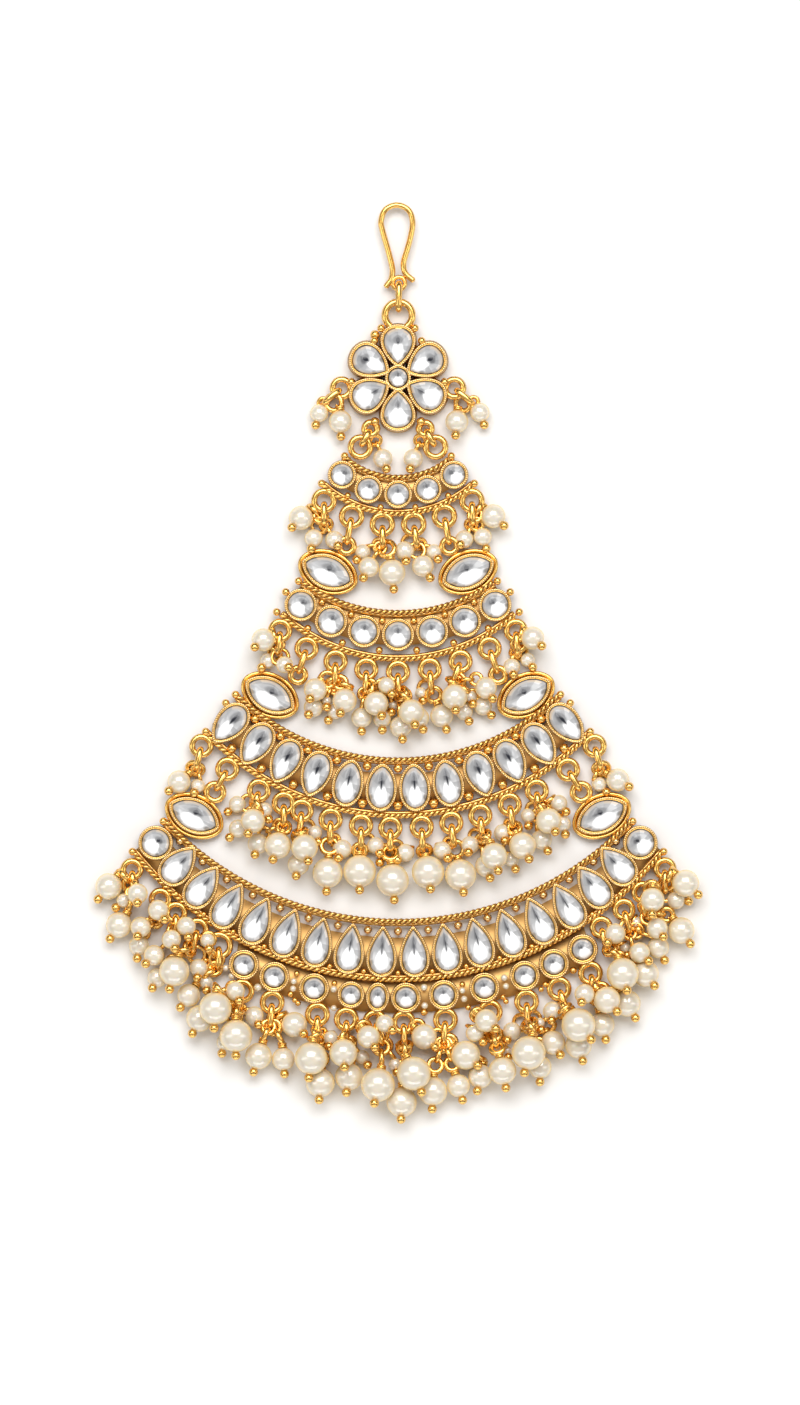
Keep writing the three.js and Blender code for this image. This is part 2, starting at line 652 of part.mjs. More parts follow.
BARS.forEach((plan, i) => {
  addPiece(`bar_${i + 1}`, bar(plan), gold);
  for (const [side, word] of [[-1, 'left'], [1, 'right']]) {
    if (plan.marquise) {
      const [across, along, turn] = plan.marquise;
      const shape = looseStone('marquise', MARQUISE.stone, [side * across, along], side * turn);
      addPiece(`marquise_stone_${i + 1}_${word}`, shape, crystal);
    }
    const upper = i === 0
      ? ROSETTE_RINGS[`${word}Lower`]
      : BARS[i - 1].rings.find(({ place, lean }) => lean === undefined && side * place[0] > 0).place;
    const lower = [side * plan.shoulder[0], plan.shoulder[1]];
    addPiece(`tier_link_${i + 1}_${word}`, link(upper, lower, LINK_LENGTHS[i], 8), gold);
  }
});

const stretches = [
  ...ROSETTE_DROPS.map(({ name, ring: place, lean, pearls }) => (
    { name: `rosette_drops_${name}`, hangers: [{ place, lean }], pearls })),
  ...FRINGES.flatMap((fringe, tier) => fringe.map(({ rings, pearls }, i) => ({
    name: `tier_${tier + 1}_drops_${i + 1}`,
    hangers: rings.map((number) => BARS[tier].rings[number]),
    pearls,
  }))),
];
const settled = settle(stretches);
for (const { name, hangers } of stretches) {
  const drops = settled.filter((drop) => drop.name === name && drop.radius > TINY);
  addPiece(name, stretchOfDrops(hangers, drops), pearl);
}

export default headpiece;
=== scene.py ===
"""Visual model of a passa: a gilt fan-shaped side headpiece of foiled crystals and pearl drops.

Laid out as an add-on and run as a script. Lengths in the tables are millimetres, given as
across and along from the jewel's axis of symmetry; angles are degrees from straight down,
to the right. Every shape is worked out on whole arrays of points, then shifted and scaled
to the frame of the solids.
"""

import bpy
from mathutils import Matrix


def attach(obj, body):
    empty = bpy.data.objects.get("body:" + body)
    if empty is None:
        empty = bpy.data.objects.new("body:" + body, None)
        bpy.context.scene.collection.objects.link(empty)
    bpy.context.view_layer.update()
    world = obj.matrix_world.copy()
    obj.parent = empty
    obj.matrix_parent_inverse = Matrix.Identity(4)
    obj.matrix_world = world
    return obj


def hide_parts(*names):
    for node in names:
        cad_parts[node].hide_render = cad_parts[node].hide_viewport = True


bl_info = {
    "name": "Passa Headpiece",
    "version": (1, 0, 0),
    "blender": (4, 5, 0),
    "location": "3D View > Sidebar > Passa",
    "description": "Builds a passa headpiece of gilt wire, foiled crystals and pearl drops",
    "category": "Add Mesh",
}

from collections import namedtuple

import bpy
import numpy as np
from mathutils import Vector

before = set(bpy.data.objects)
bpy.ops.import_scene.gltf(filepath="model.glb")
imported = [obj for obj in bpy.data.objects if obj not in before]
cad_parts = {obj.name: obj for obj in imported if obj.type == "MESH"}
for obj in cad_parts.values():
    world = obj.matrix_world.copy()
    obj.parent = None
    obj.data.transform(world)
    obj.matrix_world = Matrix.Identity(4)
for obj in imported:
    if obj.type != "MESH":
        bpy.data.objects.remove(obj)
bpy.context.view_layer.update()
NODES = sorted(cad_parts)

MILLIMETRE = 0.001
MIDDLE = np.array([-0.13, 0.63, 0.0])   # the middle of the jewel's box
UP = np.array([0.0, 0.0, 1.0])
FULL_TURN = 2 * np.pi
FINE = (14, 8)          # columns and rows of a small ball

WIRE_LEVEL = 1.6        # height of the rings and links above the back
ROPE_LEVEL = WIRE_LEVEL + 0.25
ROPE_WIRE, ROPE_TOP = 0.65, 2.1         # half width and height of a rope, where a pearl rests
ROPE_STEPS = 14         # points on a strand in one full turn
STRAND_REACH = 0.86     # way of a strand's middle from the rope's, as a share of its radius
ROPE_DULLNESS = (0.15, 0.0)             # of the upper and the lower rope
BACKING = ((0.55, 0.3, 1.45), (-0.45, 0.34, 1.35))  # by the ropes: shift, wire, height
WEB_BACK = 0.2          # height of the back of a web
RING_TOP = 2.01
LINK_HEIGHT, LINK_TOP, LINK_WIRE = 3.1, 3.2, 0.52
DROP_LINK_LENGTH = 4.3
HANGING_END = 3.2       # way from a ring's middle to where its link carries the drops
HOOK_EYE_WIRE = 0.36
STONE_TOP = 3.0
RIM = 0.56              # width of the rim round a stone, unless a row says otherwise
BEADED = (0.24, 2.28)   # inset and height of the beaded wire on a rim

LARGE_PEARL = 1.85      # radius above which a pearl has a wound coil and a larger loop
LARGE_LOOP = 1.3        # how much thicker the wire of that loop is
LOOP_SIZES = (1.05, 0.8)            # least radius of the loops of large and small pearls
LOOP_REACH, MOST_LOOPS = 1.9, 4     # way that one loop spans, and the most in a chain
LOOP_LAP = 0.2          # by how much the loops of a chain overlap
COIL_WIRE, COIL_RADIUS = 0.2, 0.62  # of the wire wound above each large pearl
COIL_TURNS, COIL_LENGTH = 2.6, 0.85
NECKS = (0.95, 0.1)     # way of a stem past a large and past a small pearl
BALL_SEAT = 0.72        # way of a ball end's middle past its pearl, in radii of the ball
BALL_SEEN = 0.75        # the same way, as the offsets of the ball ends in the tables take it
SKIM = 0.03             # air left where one pearl rests on another
NUDGES = 30             # how often crowded pearls are nudged apart
CROWD, PROPS = 8, 3     # way within which pearls, and posts, can touch a pearl

# The shade attribute holds painted shade on the gold, a painted warm reflection on the pearls and
# the reach of the painted dark streak on the crystals.
SHADE = "shade"         # the attribute that carries each point's shade to the finishes
RIM_GOLD, WEB_GOLD = 1, 2            # places of two gildings among the gold finishes
BUMP_DEPTH = 0.00003    # in metres


def evenly(count, step):
    """Angles a step apart, balanced about straight down."""
    return [step * (i - (count - 1) / 2) for i in range(count)]


# Outlines: exponent that draws the ends to a point, taper towards the tip, and how much
# faster the tip and the foot draw in than the sides when the outline is inset.
OUTLINES = {
    "round": (1.0, 0.0, 1.0, 1.0),
    "almond": (1.0, 0.22, 1.1, 1.0),
    "pear": (1.0, 0.9, 1.4, 1.0),
    "petal": (1.0, 0.74, 1.3, 1.0),
    "egg": (1.0, 0.42, 1.15, 1.0),
    "marquise": (1.4, 0.0, 1.35, 1.35),
    "boat": (1.15, 0.0, 1.0, 1.0),
}

# A row of settings: outline, turn against the arc, width of the rim round the stone, arc's
# centre along, arc's radius, width across the arc, length along its radius, angles.
Row = namedtuple("Row", "outline turn rim centre radius width length angles")

# Fringe rings on an arc: centre along, radius, outer radius of the rings, and for each its
# angle and the lean of its drop link. A ring with no lean holds a link to the next bar.
Rings = namedtuple("Rings", "centre radius outer columns")

# A bar: its two rope arcs (centre along, radius, half angle), rows of settings, fringe
# rings, shoulder ring (across, along, outer radius), marquise (across, along, turn) and web
# of metal, which partly stands in for warm shade in the gaps: the shares of the way from the
# upper rope to the lower one where it begins and ends, and its height.
Bar = namedtuple("Bar", "ropes rows rings shoulder marquise web")

BARS = (
    Bar(
        ropes=((43.8, 13.2, 42), (43.1, 18.5, 42.3)),
        rows=(Row("round", 0, 0.56, 42.65, 14.85, 4.8, 4.8, evenly(5, 19.2)),),
        rings=(Rings(43.1, 20.4, 2.15, (
            (-36.7, 0), (-22, None), (-7.3, 2), (7.3, 9), (22, None), (36.7, 2))),),
        shoulder=(6.2, 35.6, 2.15),
        marquise=None,
        web=(0.0, 0.7, 1.15),
    ),
    Bar(
        ropes=((35.5, 27.2, 35.2), (29.5, 28.9, 41.9)),
        rows=(Row("round", 0, 0.58, 33.25, 28.6, 5.5, 5.5, evenly(7, 11.35)),),
        rings=(Rings(29.5, 31.0, 2.05, (
            (-38.8, -5), (-29.1, None), (-19.4, -2), (-9.7, -2), (0, 0), (9.7, 5),
            (19.4, -20), (29.1, None), (38.8, 4))),),
        shoulder=(8.5, 19.3, 1.75),
        marquise=(11.55, 15.0, 23),
        web=(0.0, 0.7, 1.15),
    ),
    Bar(
        ropes=((22.3, 38.3, 43.6), (18.4, 43.6, 46.9)),
        rows=(
            Row("almond", 0, 0.56, 21.1, 41.7, 5.35, 8.1, evenly(4, 7.58)),
            Row("egg", 180, 0.56, 21.1, 41.7, 5.3, 8.1, (
                -41.7, -34.1, -26.5, -19.0, 19.0, 26.5, 34.1, 41.7)),
        ),
        rings=(Rings(18.4, 45.6, 2.05, (
            (-45.3, -13), (-38.1, None), (-30.2, -15), (-24.4, 0), (-20.4, -5), (-14.1, -2),
            (-7.7, 0), (-1.6, 0), (4.9, 3), (11.1, 7), (17.3, 6), (23.8, 9), (30.1, 5),
            (37.9, None), (45.3, 15))),),
        shoulder=(16.5, -2.0, 1.75),
        marquise=(21.1, -5.3, 30),
        web=(0.25, 0.78, 1.15),
    ),
    Bar(
        ropes=((10.2, 52.8, 46.6), (3.4, 55.6, 51.6)),
        rows=(
            Row("pear", 0, 0.57, 6.8, 54.4, 5.2, 8.8, evenly(12, 5.6)),
            Row("petal", 0, 0.57, 6.8, 54.2, 5.3, 8.5, (-36.4, 36.4)),
            Row("petal", 0, 0.57, 6.8, 53.9, 5.4, 8.2, (-42, 42)),
            Row("round", 0, 0.6, 6.8, 54.1, 5.8, 5.8, (-47.6, 47.6)),
            Row("round", 0, 0.82, 6.8, 62.0, 5.1, 5.1, (
                -24.2, -19.2, -12.9, 1.2, 7.0, 13.3, 19.7, 24.5, 29.4)),
            Row("round", 0, 0.7, 6.8, 62.0, 4.6, 4.6, (-7.2,)),
            Row("round", 0, 0.72, 6.8, 62.0, 4.0, 5.0, (-3.1,)),
        ),
        rings=(
            Rings(3.4, 57.7, 1.95, ((-49.5, 5), (-42.8, 0), (-39.4, 0), (-35.0, -12))),
            Rings(3.4, 58.1, 2.4, ((-30.6, 1),)),
            Rings(6.8, 66.1, 2.1, (
                (-22.9, -15), (-18.3, -5), (-11.6, 0), (-7.4, 0), (-3.3, 18), (0.8, 2),
                (6.8, -5), (13.3, 5), (18.7, 3), (23.7, 20), (28.7, 15))),
            Rings(3.4, 57.7, 1.95, ((35.5, 15), (40.2, 15), (44.4, 5), (49.7, 0))),
        ),
        shoulder=(30.2, -21.3, 1.95),
        marquise=(33.6, -25.2, 27),
        web=(0.28, 1.0, 0.6),
    ),
)

# The drops of each bar's fringe, in stretches. A stretch names its rings, counted from the
# left, and its pearls: layer, across, along, radius, and the offset of the ball end from
# the pearl's middle, across and along. A higher layer lies on top of a lower one.
FRINGES = (
    (
        ((0,), (
            (1, -16.0, 23.9, 2.0, -1.5, -1.6), (0, -13.9, 20.6, 1.5, -0.4, -1.8),
            (0, -10.5, 20.3, 1.5, 0.6, -1.0),
        )),
        ((2,), (
            (0, -5.8, 18.3, 1.3, -1.0, -1.3), (1, -4.8, 15.8, 1.7, -0.9, -1.8),
            (1, -1.0, 14.9, 2.2, 0.3, -2.8),
        )),
        ((3,), (
            (0, 1.2, 18.5, 1.6, 0.2, -1.7), (1, 4.1, 16.0, 1.8, 1.2, -2.0),
            (0, 5.9, 18.3, 1.3, 0.7, -1.2),
        )),
        ((5,), (
            (0, 11.0, 20.4, 1.5, -0.7, -0.9), (0, 13.9, 20.8, 1.5, 0.6, -2.0),
            (1, 15.7, 24.2, 2.0, 1.8, -1.6),
        )),
    ),
    (
        ((0,), (
            (1, -22.2, 3.8, 1.9, -1.4, -1.2), (0, -21.1, 0.5, 1.3, -1.0, -1.1),
            (1, -18.7, -0.3, 1.4, 0.7, -0.4),
        )),
        ((2,), (
            (1, -13.6, -4.4, 1.9, -0.9, -1.5), (0, -13.9, -7.3, 1.6, -0.8, -1.2),
            (0, -11.8, -6.3, 0.8, 0.0, -1.0), (1, -8.8, -6.2, 2.0, -0.7, -2.1),
            (0, -10.4, -8.0, 1.3, -1.1, -1.5),
        )),
        ((3,), (
            (0, -6.0, -9.0, 1.7, 0.0, -2.3), (1, -3.6, -6.7, 2.0, 0.9, -2.0),
            (2, -1.9, -3.7, 1.4, 0.9, -1.4), (0, -0.8, -7.0, 0.9, -0.3, -1.1),
            (0, -2.3, -9.3, 1.5, 0.0, -1.9),
        )),
        ((4,), (
            (0, 0.6, -10.2, 1.8, 0.3, -2.1), (1, 2.2, -8.1, 2.1, 0.6, -2.1),
            (0, 3.1, -9.2, 1.6, 0.6, -2.0),
        )),
        ((5,), (
            (0, 3.8, -5.0, 1.0, 0.3, -1.2), (0, 7.2, -8.7, 1.9, 0.8, -2.3),
        )),
        ((6,), (
            (1, 9.3, -5.6, 2.1, 0.2, -2.2), (0, 11.0, -8.0, 1.4, 0.8, -1.6),
            (1, 14.5, -4.1, 1.8, 1.1, -1.8), (0, 13.5, -6.8, 1.5, 1.4, -1.5),
            (0, 12.5, -5.9, 1.0, 0.3, -1.2),
        )),
        ((8,), (
            (0, 19.0, -0.2, 1.4, 0.3, -1.3), (0, 21.4, 0.5, 1.2, 0.8, -1.2),
            (1, 22.2, 4.1, 1.9, 1.5, -1.3),
        )),
    ),
    (
        ((0,), (
            (0, -36.1, -19.6, 1.9, -1.7, -1.5), (0, -33.0, -20.3, 1.2, -0.6, -1.1),
        )),
        ((2,), (
            (0, -26.5, -23.3, 1.4, -1.6, -1.3), (1, -23.9, -26.0, 2.0, -0.8, -2.1),
            (0, -21.4, -24.0, 1.3, 0.7, -1.5), (0, -26.4, -27.3, 1.5, -1.4, -1.5),
        )),
        ((3, 4), (
            (0, -23.1, -29.8, 1.7, -0.5, -1.8), (1, -19.8, -30.1, 2.2, -0.8, -2.3),
            (1, -15.4, -30.4, 2.2, 0.6, -2.2), (0, -16.4, -33.2, 1.8, -0.4, -1.9),
            (0, -13.7, -28.0, 1.2, 0.6, -1.5),
        )),
        ((5,), (
            (0, -11.6, -34.6, 2.5, -0.2, -3.1), (1, -9.2, -30.7, 1.6, -0.6, -1.4),
        )),
        ((6, 7), (
            (0, -6.3, -33.9, 2.7, 0.0, -3.1), (1, -3.7, -30.1, 1.4, 0.7, -1.3),
            (0, -2.6, -32.2, 0.8, -0.4, -0.7), (0, -0.9, -35.8, 2.7, 0.3, -3.5),
            (1, 1.2, -31.3, 1.5, -1.3, -1.2),
        )),
        ((8,), (
            (0, 4.9, -34.3, 2.7, 0.4, -2.8),
        )),
        ((9,), (
            (0, 10.4, -34.9, 2.6, 0.5, -2.9), (1, 7.3, -30.9, 1.5, 0.9, -1.3),
        )),
        ((10, 11), (
            (1, 15.8, -31.8, 2.2, 0.7, -2.4), (0, 14.4, -33.5, 1.8, 0.7, -2.0),
            (1, 11.9, -30.0, 1.5, -0.3, -1.2), (1, 20.5, -30.1, 2.2, 1.1, -2.2),
            (1, 17.2, -28.0, 1.4, 0.4, -1.3), (0, 18.7, -32.4, 1.2, 0.7, -1.6),
        )),
        ((12,), (
            (1, 24.8, -26.0, 2.1, 1.1, -1.8), (0, 21.7, -25.2, 1.2, 0.0, -1.7),
            (0, 26.8, -22.9, 1.4, 1.2, -1.4), (0, 23.7, -29.1, 1.7, 1.0, -1.9),
            (0, 27.2, -26.5, 1.3, 0.4, -1.8),
        )),
        ((14,), (
            (0, 33.2, -20.0, 1.2, 1.2, -1.3), (0, 36.2, -19.3, 1.9, 1.9, -1.1),
        )),
    ),
    (
        ((0, 1), (
            (0, -47.4, -37.1, 2.2, -1.8, -2.2), (0, -45.5, -38.9, 1.2, -1.5, -1.3),
            (1, -42.9, -38.0, 1.7, 0.0, -1.5), (0, -46.0, -43.2, 2.15, -1.5, -2.3),
            (1, -42.4, -43.5, 1.7, -0.5, -1.5), (0, -42.7, -46.6, 1.65, -0.3, -2.1),
            (2, -39.5, -40.7, 1.7, 1.1, -1.5),
        )),
        ((2, 3), (
            (1, -40.0, -48.3, 1.7, -1.4, -1.4), (0, -39.7, -51.9, 1.6, -0.8, -1.7),
            (2, -37.3, -45.5, 1.6, 0.6, -1.5), (1, -36.7, -50.6, 2.5, -0.8, -3.1),
            (2, -34.9, -43.4, 1.6, 0.4, -1.8), (1, -33.2, -50.3, 1.5, -0.2, -1.6),
        )),
        ((4, 5), (
            (2, -31.4, -45.7, 1.2, 0.3, -1.4), (2, -30.0, -56.8, 2.7, -0.2, -3.4),
            (0, -32.7, -58.6, 2.2, -1.2, -2.5), (1, -34.5, -54.8, 1.9, -1.4, -2.0),
            (0, -31.7, -52.6, 1.2, 0.2, -1.4), (2, -26.9, -54.1, 1.6, 0.7, -1.6),
            (1, -26.7, -61.4, 2.7, 0.0, -3.3), (0, -28.5, -62.5, 1.4, -0.6, -2.1),
            (1, -23.7, -58.2, 1.6, 0.7, -1.4),
        )),
        ((6, 7), (
            (0, -23.0, -64.8, 2.2, -0.9, -2.9), (0, -18.9, -65.3, 1.9, 0.2, -2.6),
            (2, -17.1, -59.6, 2.1, 1.6, -1.5), (1, -14.3, -65.1, 2.7, -0.4, -3.4),
            (0, -12.8, -69.2, 2.4, -0.2, -2.8), (0, -11.1, -61.9, 1.3, -0.3, -1.3),
        )),
        ((8, 9), (
            (1, -9.0, -64.2, 2.3, 0.2, -2.3), (0, -8.1, -68.2, 2.3, -0.4, -2.6),
            (2, -4.9, -61.6, 1.9, 1.1, -1.7), (0, -5.9, -65.0, 1.2, 0.9, -1.3),
            (2, -2.2, -59.4, 1.5, 1.3, -1.1), (1, -3.3, -69.5, 2.8, -0.6, -3.0),
            (0, -0.4, -66.2, 1.1, 0.2, -1.3),
        )),
        ((10, 11), (
            (1, 2.6, -67.6, 2.8, 1.3, -3.1), (0, 0.6, -72.4, 2.5, -0.1, -2.8),
            (2, 4.3, -61.6, 2.1, 1.8, -1.7), (0, 6.1, -70.5, 2.4, -0.1, -3.0),
            (0, 10.0, -69.6, 1.9, 0.7, -2.5), (1, 11.2, -64.5, 2.4, 2.0, -1.7),
            (0, 13.2, -68.3, 2.0, -0.5, -2.4),
        )),
        ((12, 13), (
            (2, 14.5, -58.9, 1.9, 1.6, -1.3), (1, 12.6, -61.1, 1.5, 1.4, -1.5),
            (1, 17.2, -67.2, 2.3, 0.6, -2.9), (0, 18.8, -60.7, 1.5, -0.8, -1.5),
            (1, 21.5, -64.2, 2.8, -0.7, -3.3), (0, 23.4, -66.6, 1.9, 0.0, -2.5),
            (0, 18.0, -64.0, 0.8, 0.2, -1.0), (0, 23.4, -59.4, 0.9, 0.2, -1.1),
        )),
        ((14, 15), (
            (2, 25.5, -57.4, 1.6, -0.2, -1.5), (0, 25.6, -62.6, 2.0, 1.2, -2.0),
            (1, 29.7, -59.6, 2.8, 2.1, -2.4), (0, 29.7, -63.0, 2.2, 0.7, -2.6),
            (2, 30.7, -54.5, 1.65, -0.5, -1.3), (1, 34.4, -55.5, 2.2, 1.7, -1.9),
            (0, 33.7, -59.6, 2.0, 0.6, -2.7), (0, 37.8, -56.1, 2.2, 1.4, -2.5),
        )),
        ((16, 17, 18, 19), (
            (1, 37.0, -51.2, 2.65, 0.7, -2.7), (0, 40.8, -51.2, 2.2, 1.5, -2.0),
            (2, 35.8, -44.6, 1.7, -1.3, -1.5), (0, 39.5, -41.9, 1.0, 0.3, -1.2),
            (1, 39.8, -47.7, 1.7, 1.5, -1.4), (0, 42.9, -46.9, 1.8, 1.1, -2.2),
            (1, 42.7, -43.7, 1.75, 1.0, -1.4), (0, 37.5, -47.0, 1.0, 0.3, -1.2),
            (2, 41.9, -39.0, 2.0, -0.1, -2.4), (0, 45.2, -38.8, 1.5, 2.2, -0.2),
            (1, 47.4, -36.3, 2.25, 2.1, -1.9), (0, 46.7, -44.1, 2.2, 1.5, -2.2),
        )),
    ),
)

# The drops on the rosette: side ring, lean of its link, pearls.
ROSETTE_DROPS = (
    (-9.3, 45.3, -50, ((1, -9.5, 39.8, 1.9, 0.1, -2.5), (0, -13.0, 41.2, 1.5, -0.7, -2.4))),
    (9.3, 45.3, 50, ((1, 9.7, 39.8, 1.9, -0.2, -2.3), (0, 13.5, 41.3, 1.6, 0.8, -2.3))),
)
# The small drop in the loop of each rosette link: pearl as above, place of the loop.
INNER_DROPS = (
    ((0, -2.5, 33.7, 1.6, 0.6, -1.7), (-4.0, 37.4)),
    ((0, 2.5, 33.7, 1.6, -0.5, -1.7), (4.0, 37.4)),
)

ROSETTE = np.array([0.0, 47.0])
PETALS = [30 + 60 * i for i in range(6)]
PETAL = (5.2, 5.95, 7.4)           # reach, width, length of the bezel
PETAL_RIM, PETAL_FOOT = 0.63, 0.16  # width of the rim, and of the foot that shows below it
# The web behind bar 4's lower row, partly standing in for warm shade: its inner and its outer
# arc, as the ropes are given but with both end angles, then its shares and its height.
LOWER_WEB = ((6.8, 58.9, (-26.5, 31.3)), (6.8, 64.5, (-25.0, 30.4)), 0.0, 1.0, 0.6)
MARQUISE, MARQUISE_FRAME = (5.8, 9.4), (6.6, 9.8)   # width and length
MARQUISE_WIRE, MARQUISE_LEVEL = 0.33, 1.5
ROSETTE_EYE, EYE_RIM = 4.4, 0.65    # width of the middle setting, and its stone's inset
BAIL = (0.1, 57.3, 2.85)            # across, along, outer radius
ROSETTE_RINGS = ((-9.3, 45.3, 2.0), (9.3, 45.3, 2.0), (-4.5, 38.6, 1.6), (4.5, 38.6, 1.6))
LINK_LENGTHS = (3.6, 4.9, 4.5, 4.2)   # from above each bar, in order

HOOK_EYE = (0.15, 62.6, 1.4)
HOOK_LINK = ((0.15, 62.6), (0.1, 58.2), 5.4)
HOOK_ROUTE = (
    (-2.05, 61.95), (-1.65, 62.5), (-1.15, 63.2), (-0.9, 64.5), (-1.05, 65.7), (-1.65, 68.1),
    (-2.5, 71.1), (-2.8, 72.8), (-2.1, 74.7), (-0.2, 75.5), (1.7, 74.7), (2.4, 72.8),
    (2.15, 70.6), (1.5, 68.1), (0.95, 66.2), (1.0, 64.8), (1.5, 63.9), (2.65, 63.0),
)

# Granules soldered in the gaps, as arcs: centre along, radius, grain radius, angles. The
# heights are those of the arcs, the paired grains, the single grains and the cups.
ARC_LEVEL, PAIRED_LEVEL, SINGLE_LEVEL, CUP_LEVEL = 1.7, 1.9, 1.5, 1.2
GAP_GRAINS = (
    (42.65, 17.2, 0.55, evenly(4, 19.2)),
    (33.25, 31.3, 0.62, evenly(6, 11.35)), (33.25, 26.4, 0.62, evenly(6, 11.35)),
    (21.1, 44.6, 0.82, evenly(11, 7.58)), (21.1, 38.4, 0.78, evenly(11, 7.58)),
    (6.8, 57.9, 0.5, evenly(17, 5.6)),
)
CUP_GRAINS = (6.8, 51.0, 0.58, evenly(17, 5.6))
CUP_WALL, CUP_RISE = 0.14, 0.9     # how much wider a cup is than its grain, and lower
# Single granules: across, along, radius. The first list stands on both sides.
PAIRED_GRAINS = (
    (8.8, 34.1, 0.66), (12.6, 29.6, 0.66), (16.4, 13.5, 0.66), (18.5, 11.7, 0.66),
    (20.0, 8.4, 0.66), (26.8, -5.2, 0.66), (28.4, -6.6, 0.66), (31.7, -11.3, 0.66),
    (38.7, -26.1, 0.66), (43.8, -31.1, 0.66), (2.8, 55.2, 0.66), (3.9, 53.1, 0.66),
    (7.7, 46.3, 0.7), (3.8, 39.8, 0.75),
)
SINGLE_GRAINS = (
    (-3.8, 54.1, 0.8), (-16.7, -51.2, 0.5), (-17.7, -54.6, 0.55), (-17.0, -55.6, 0.5),
    (-16.5, -56.1, 0.5), (-10.5, -52.8, 0.5), (4.3, -57.6, 0.62), (10.6, -53.0, 0.5),
    (11.6, -56.8, 0.55), (17.3, -55.1, 0.5), (17.8, -55.8, 0.5), (23.6, -53.8, 0.5),
    (24.3, -53.0, 0.5), (28.9, -50.7, 0.62), (-31.7, -49.0, 0.5), (-31.0, -50.3, 0.5),
)
SINGLE_PEARLS = (
    (-17.2, -52.5, 0.55), (-17.3, -53.7, 0.55), (-23.1, -53.5, 0.66), (-10.6, -53.8, 0.6),
    (-10.6, -56.9, 0.5), (4.3, -53.5, 0.6), (4.4, -56.5, 0.58), (10.6, -54.0, 0.55),
    (10.9, -55.4, 0.55), (17.5, -51.9, 0.6), (17.8, -53.3, 0.55), (-28.4, -50.3, 0.55),
    (-27.4, -51.6, 0.55),
)

# The stage: the middle of the view and the room's brightness by height, from level to overhead.
VIEW_MIDDLE = np.array([0.33, -6.52, 0.0])
SENSOR = 36.0
FLOOR_HALF, FLOOR_DROP = 2.5, 0.00002
ROOM_STOPS = ((0.0, 0.05), (0.4, 0.25), (0.72, 1.2), (0.965, 1.2), (0.985, 0.1))
ROOM_TINT = (1.0, 0.95, 0.875)
# Soft lights: name, place in metres, size, and the studio's word for the power.
LIGHTS = (
    ("Key_softbox", (0.0, 0.62, 1.1), (1.2, 0.75), "key"),
    ("Left_strip", (-1.0, -0.1, 0.75), (0.3, 1.0), "sides"),
    ("Right_strip", (1.0, -0.1, 0.75), (0.3, 1.0), "sides"),
    ("Fill_softbox", (0.0, -1.0, 0.3), (1.6, 0.35), "fill"),
)


# ---------------------------------------------------------------- sizes and finishes

def length(name, description, millimetres):
    """A length that a user may change, kept in metres."""
    return bpy.props.FloatProperty(
        name=name, description=description, default=millimetres * MILLIMETRE,
        min=0.0, precision=5, unit="LENGTH")


def amount(name, description, value, least=0.0, unit="NONE"):
    """A number that a user may change."""
    return bpy.props.FloatProperty(
        name=name, description=description, default=value, min=least, unit=unit)


def colour(name, description, value):
    """A colour that a user may change."""
    return bpy.props.FloatVectorProperty(
        name=name, description=description, default=value, size=3, min=0.0, max=1.0,
        subtype="COLOR")


class PassaWires(bpy.types.PropertyGroup):
    """Thickness of the wires and grains."""

    hook: length("Hook wire", "Radius of the hair hook's wire", 0.49)
    ring: length("Ring wire", "Radius of the wire of the soldered rings", 0.53)
    bail: length("Bail wire", "Radius of the wire of the ring on top of the rosette", 0.6)
    link: length("Link wire", "Radius of the wire of the links", 0.55)
    pin: length("Headpin", "Radius of the headpins", 0.24)
    loop: length("Loop wire", "Radius of the wire of the small loops above the pearls", 0.36)
    strand: length("Rope strand", "Radius of each of the two strands of a rope", 0.265)
    lay: length("Rope lay", "Length of one full turn of the twisted strands", 1.85)
    bead: length("Beaded rim", "Radius of the beaded rim on a bezel", 0.22)
    pitch: length("Bead pitch", "Distance from bead to bead on a rim", 0.36)
    ball: length("Ball end", "Radius of the ball at the end of a headpin", 0.78)


class PassaFinishes(bpy.types.PropertyGroup):
    """Colours of the metal, pearls and crystals."""

    gilt: colour("Gilt", "Polished gilding", (0.88, 0.515, 0.11))
    # The webs are metal that partly stands in for the warm shade in the gaps.
    web: colour("Web", "Dull gilding of the webs behind the settings", (0.8, 0.52, 0.2))
    # Painted shade in the recesses, which also stands for antique patina.
    patina_and_shade: colour("Recess", "Antiqued gilding in the recesses", (0.17, 0.055, 0.007))
    pale: colour("Rim", "Worn, paler gilding on the beaded rims", (0.86, 0.57, 0.21))
    pearl: colour("Pearl", "Body of the pearls", (0.65, 0.6, 0.505))
    # Painted warm reflection of the gilt on the pearls' sides, and the tint of their sheen.
    rim_reflection_and_sheen: colour("Nacre", "Warm light at the edge of the pearls", (0.87, 0.64, 0.25))
    # Crystal and foil are the bright and the dark ends of the crystals' painted reflections.
    crystal: colour("Crystal", "Bright facets of the foiled crystals", (0.93, 0.945, 0.97))
    foil: colour("Foil", "Dark facets of the foiled crystals", (0.02, 0.022, 0.03))


class PassaStudio(bpy.types.PropertyGroup):
    """Camera and light."""

    camera_height: amount(
        "Camera height", "Distance from the floor to the camera", 2.5, 0.5, "LENGTH")
    view_height: amount(
        "View height", "Length of floor that the view takes in", 0.2318, 0.05, "LENGTH")
    key: amount("Key light", "Power of the large soft light above the hook end", 17.0)
    sides: amount("Side lights", "Power of each of the two side strips", 2.0)
    fill: amount("Fill light", "Power of the low soft light at the fringe end", 4.5)
    dome: amount("Dome", "Brightness of the white room around the jewel", 0.52)
    floor: colour("Floor", "Plain pale floor", (0.79, 0.79, 0.795))


def gauge(name):
    """The size of a wire or grain in millimetres, the unit of the tables."""
    return getattr(bpy.context.scene.passa_wires, name) / MILLIMETRE


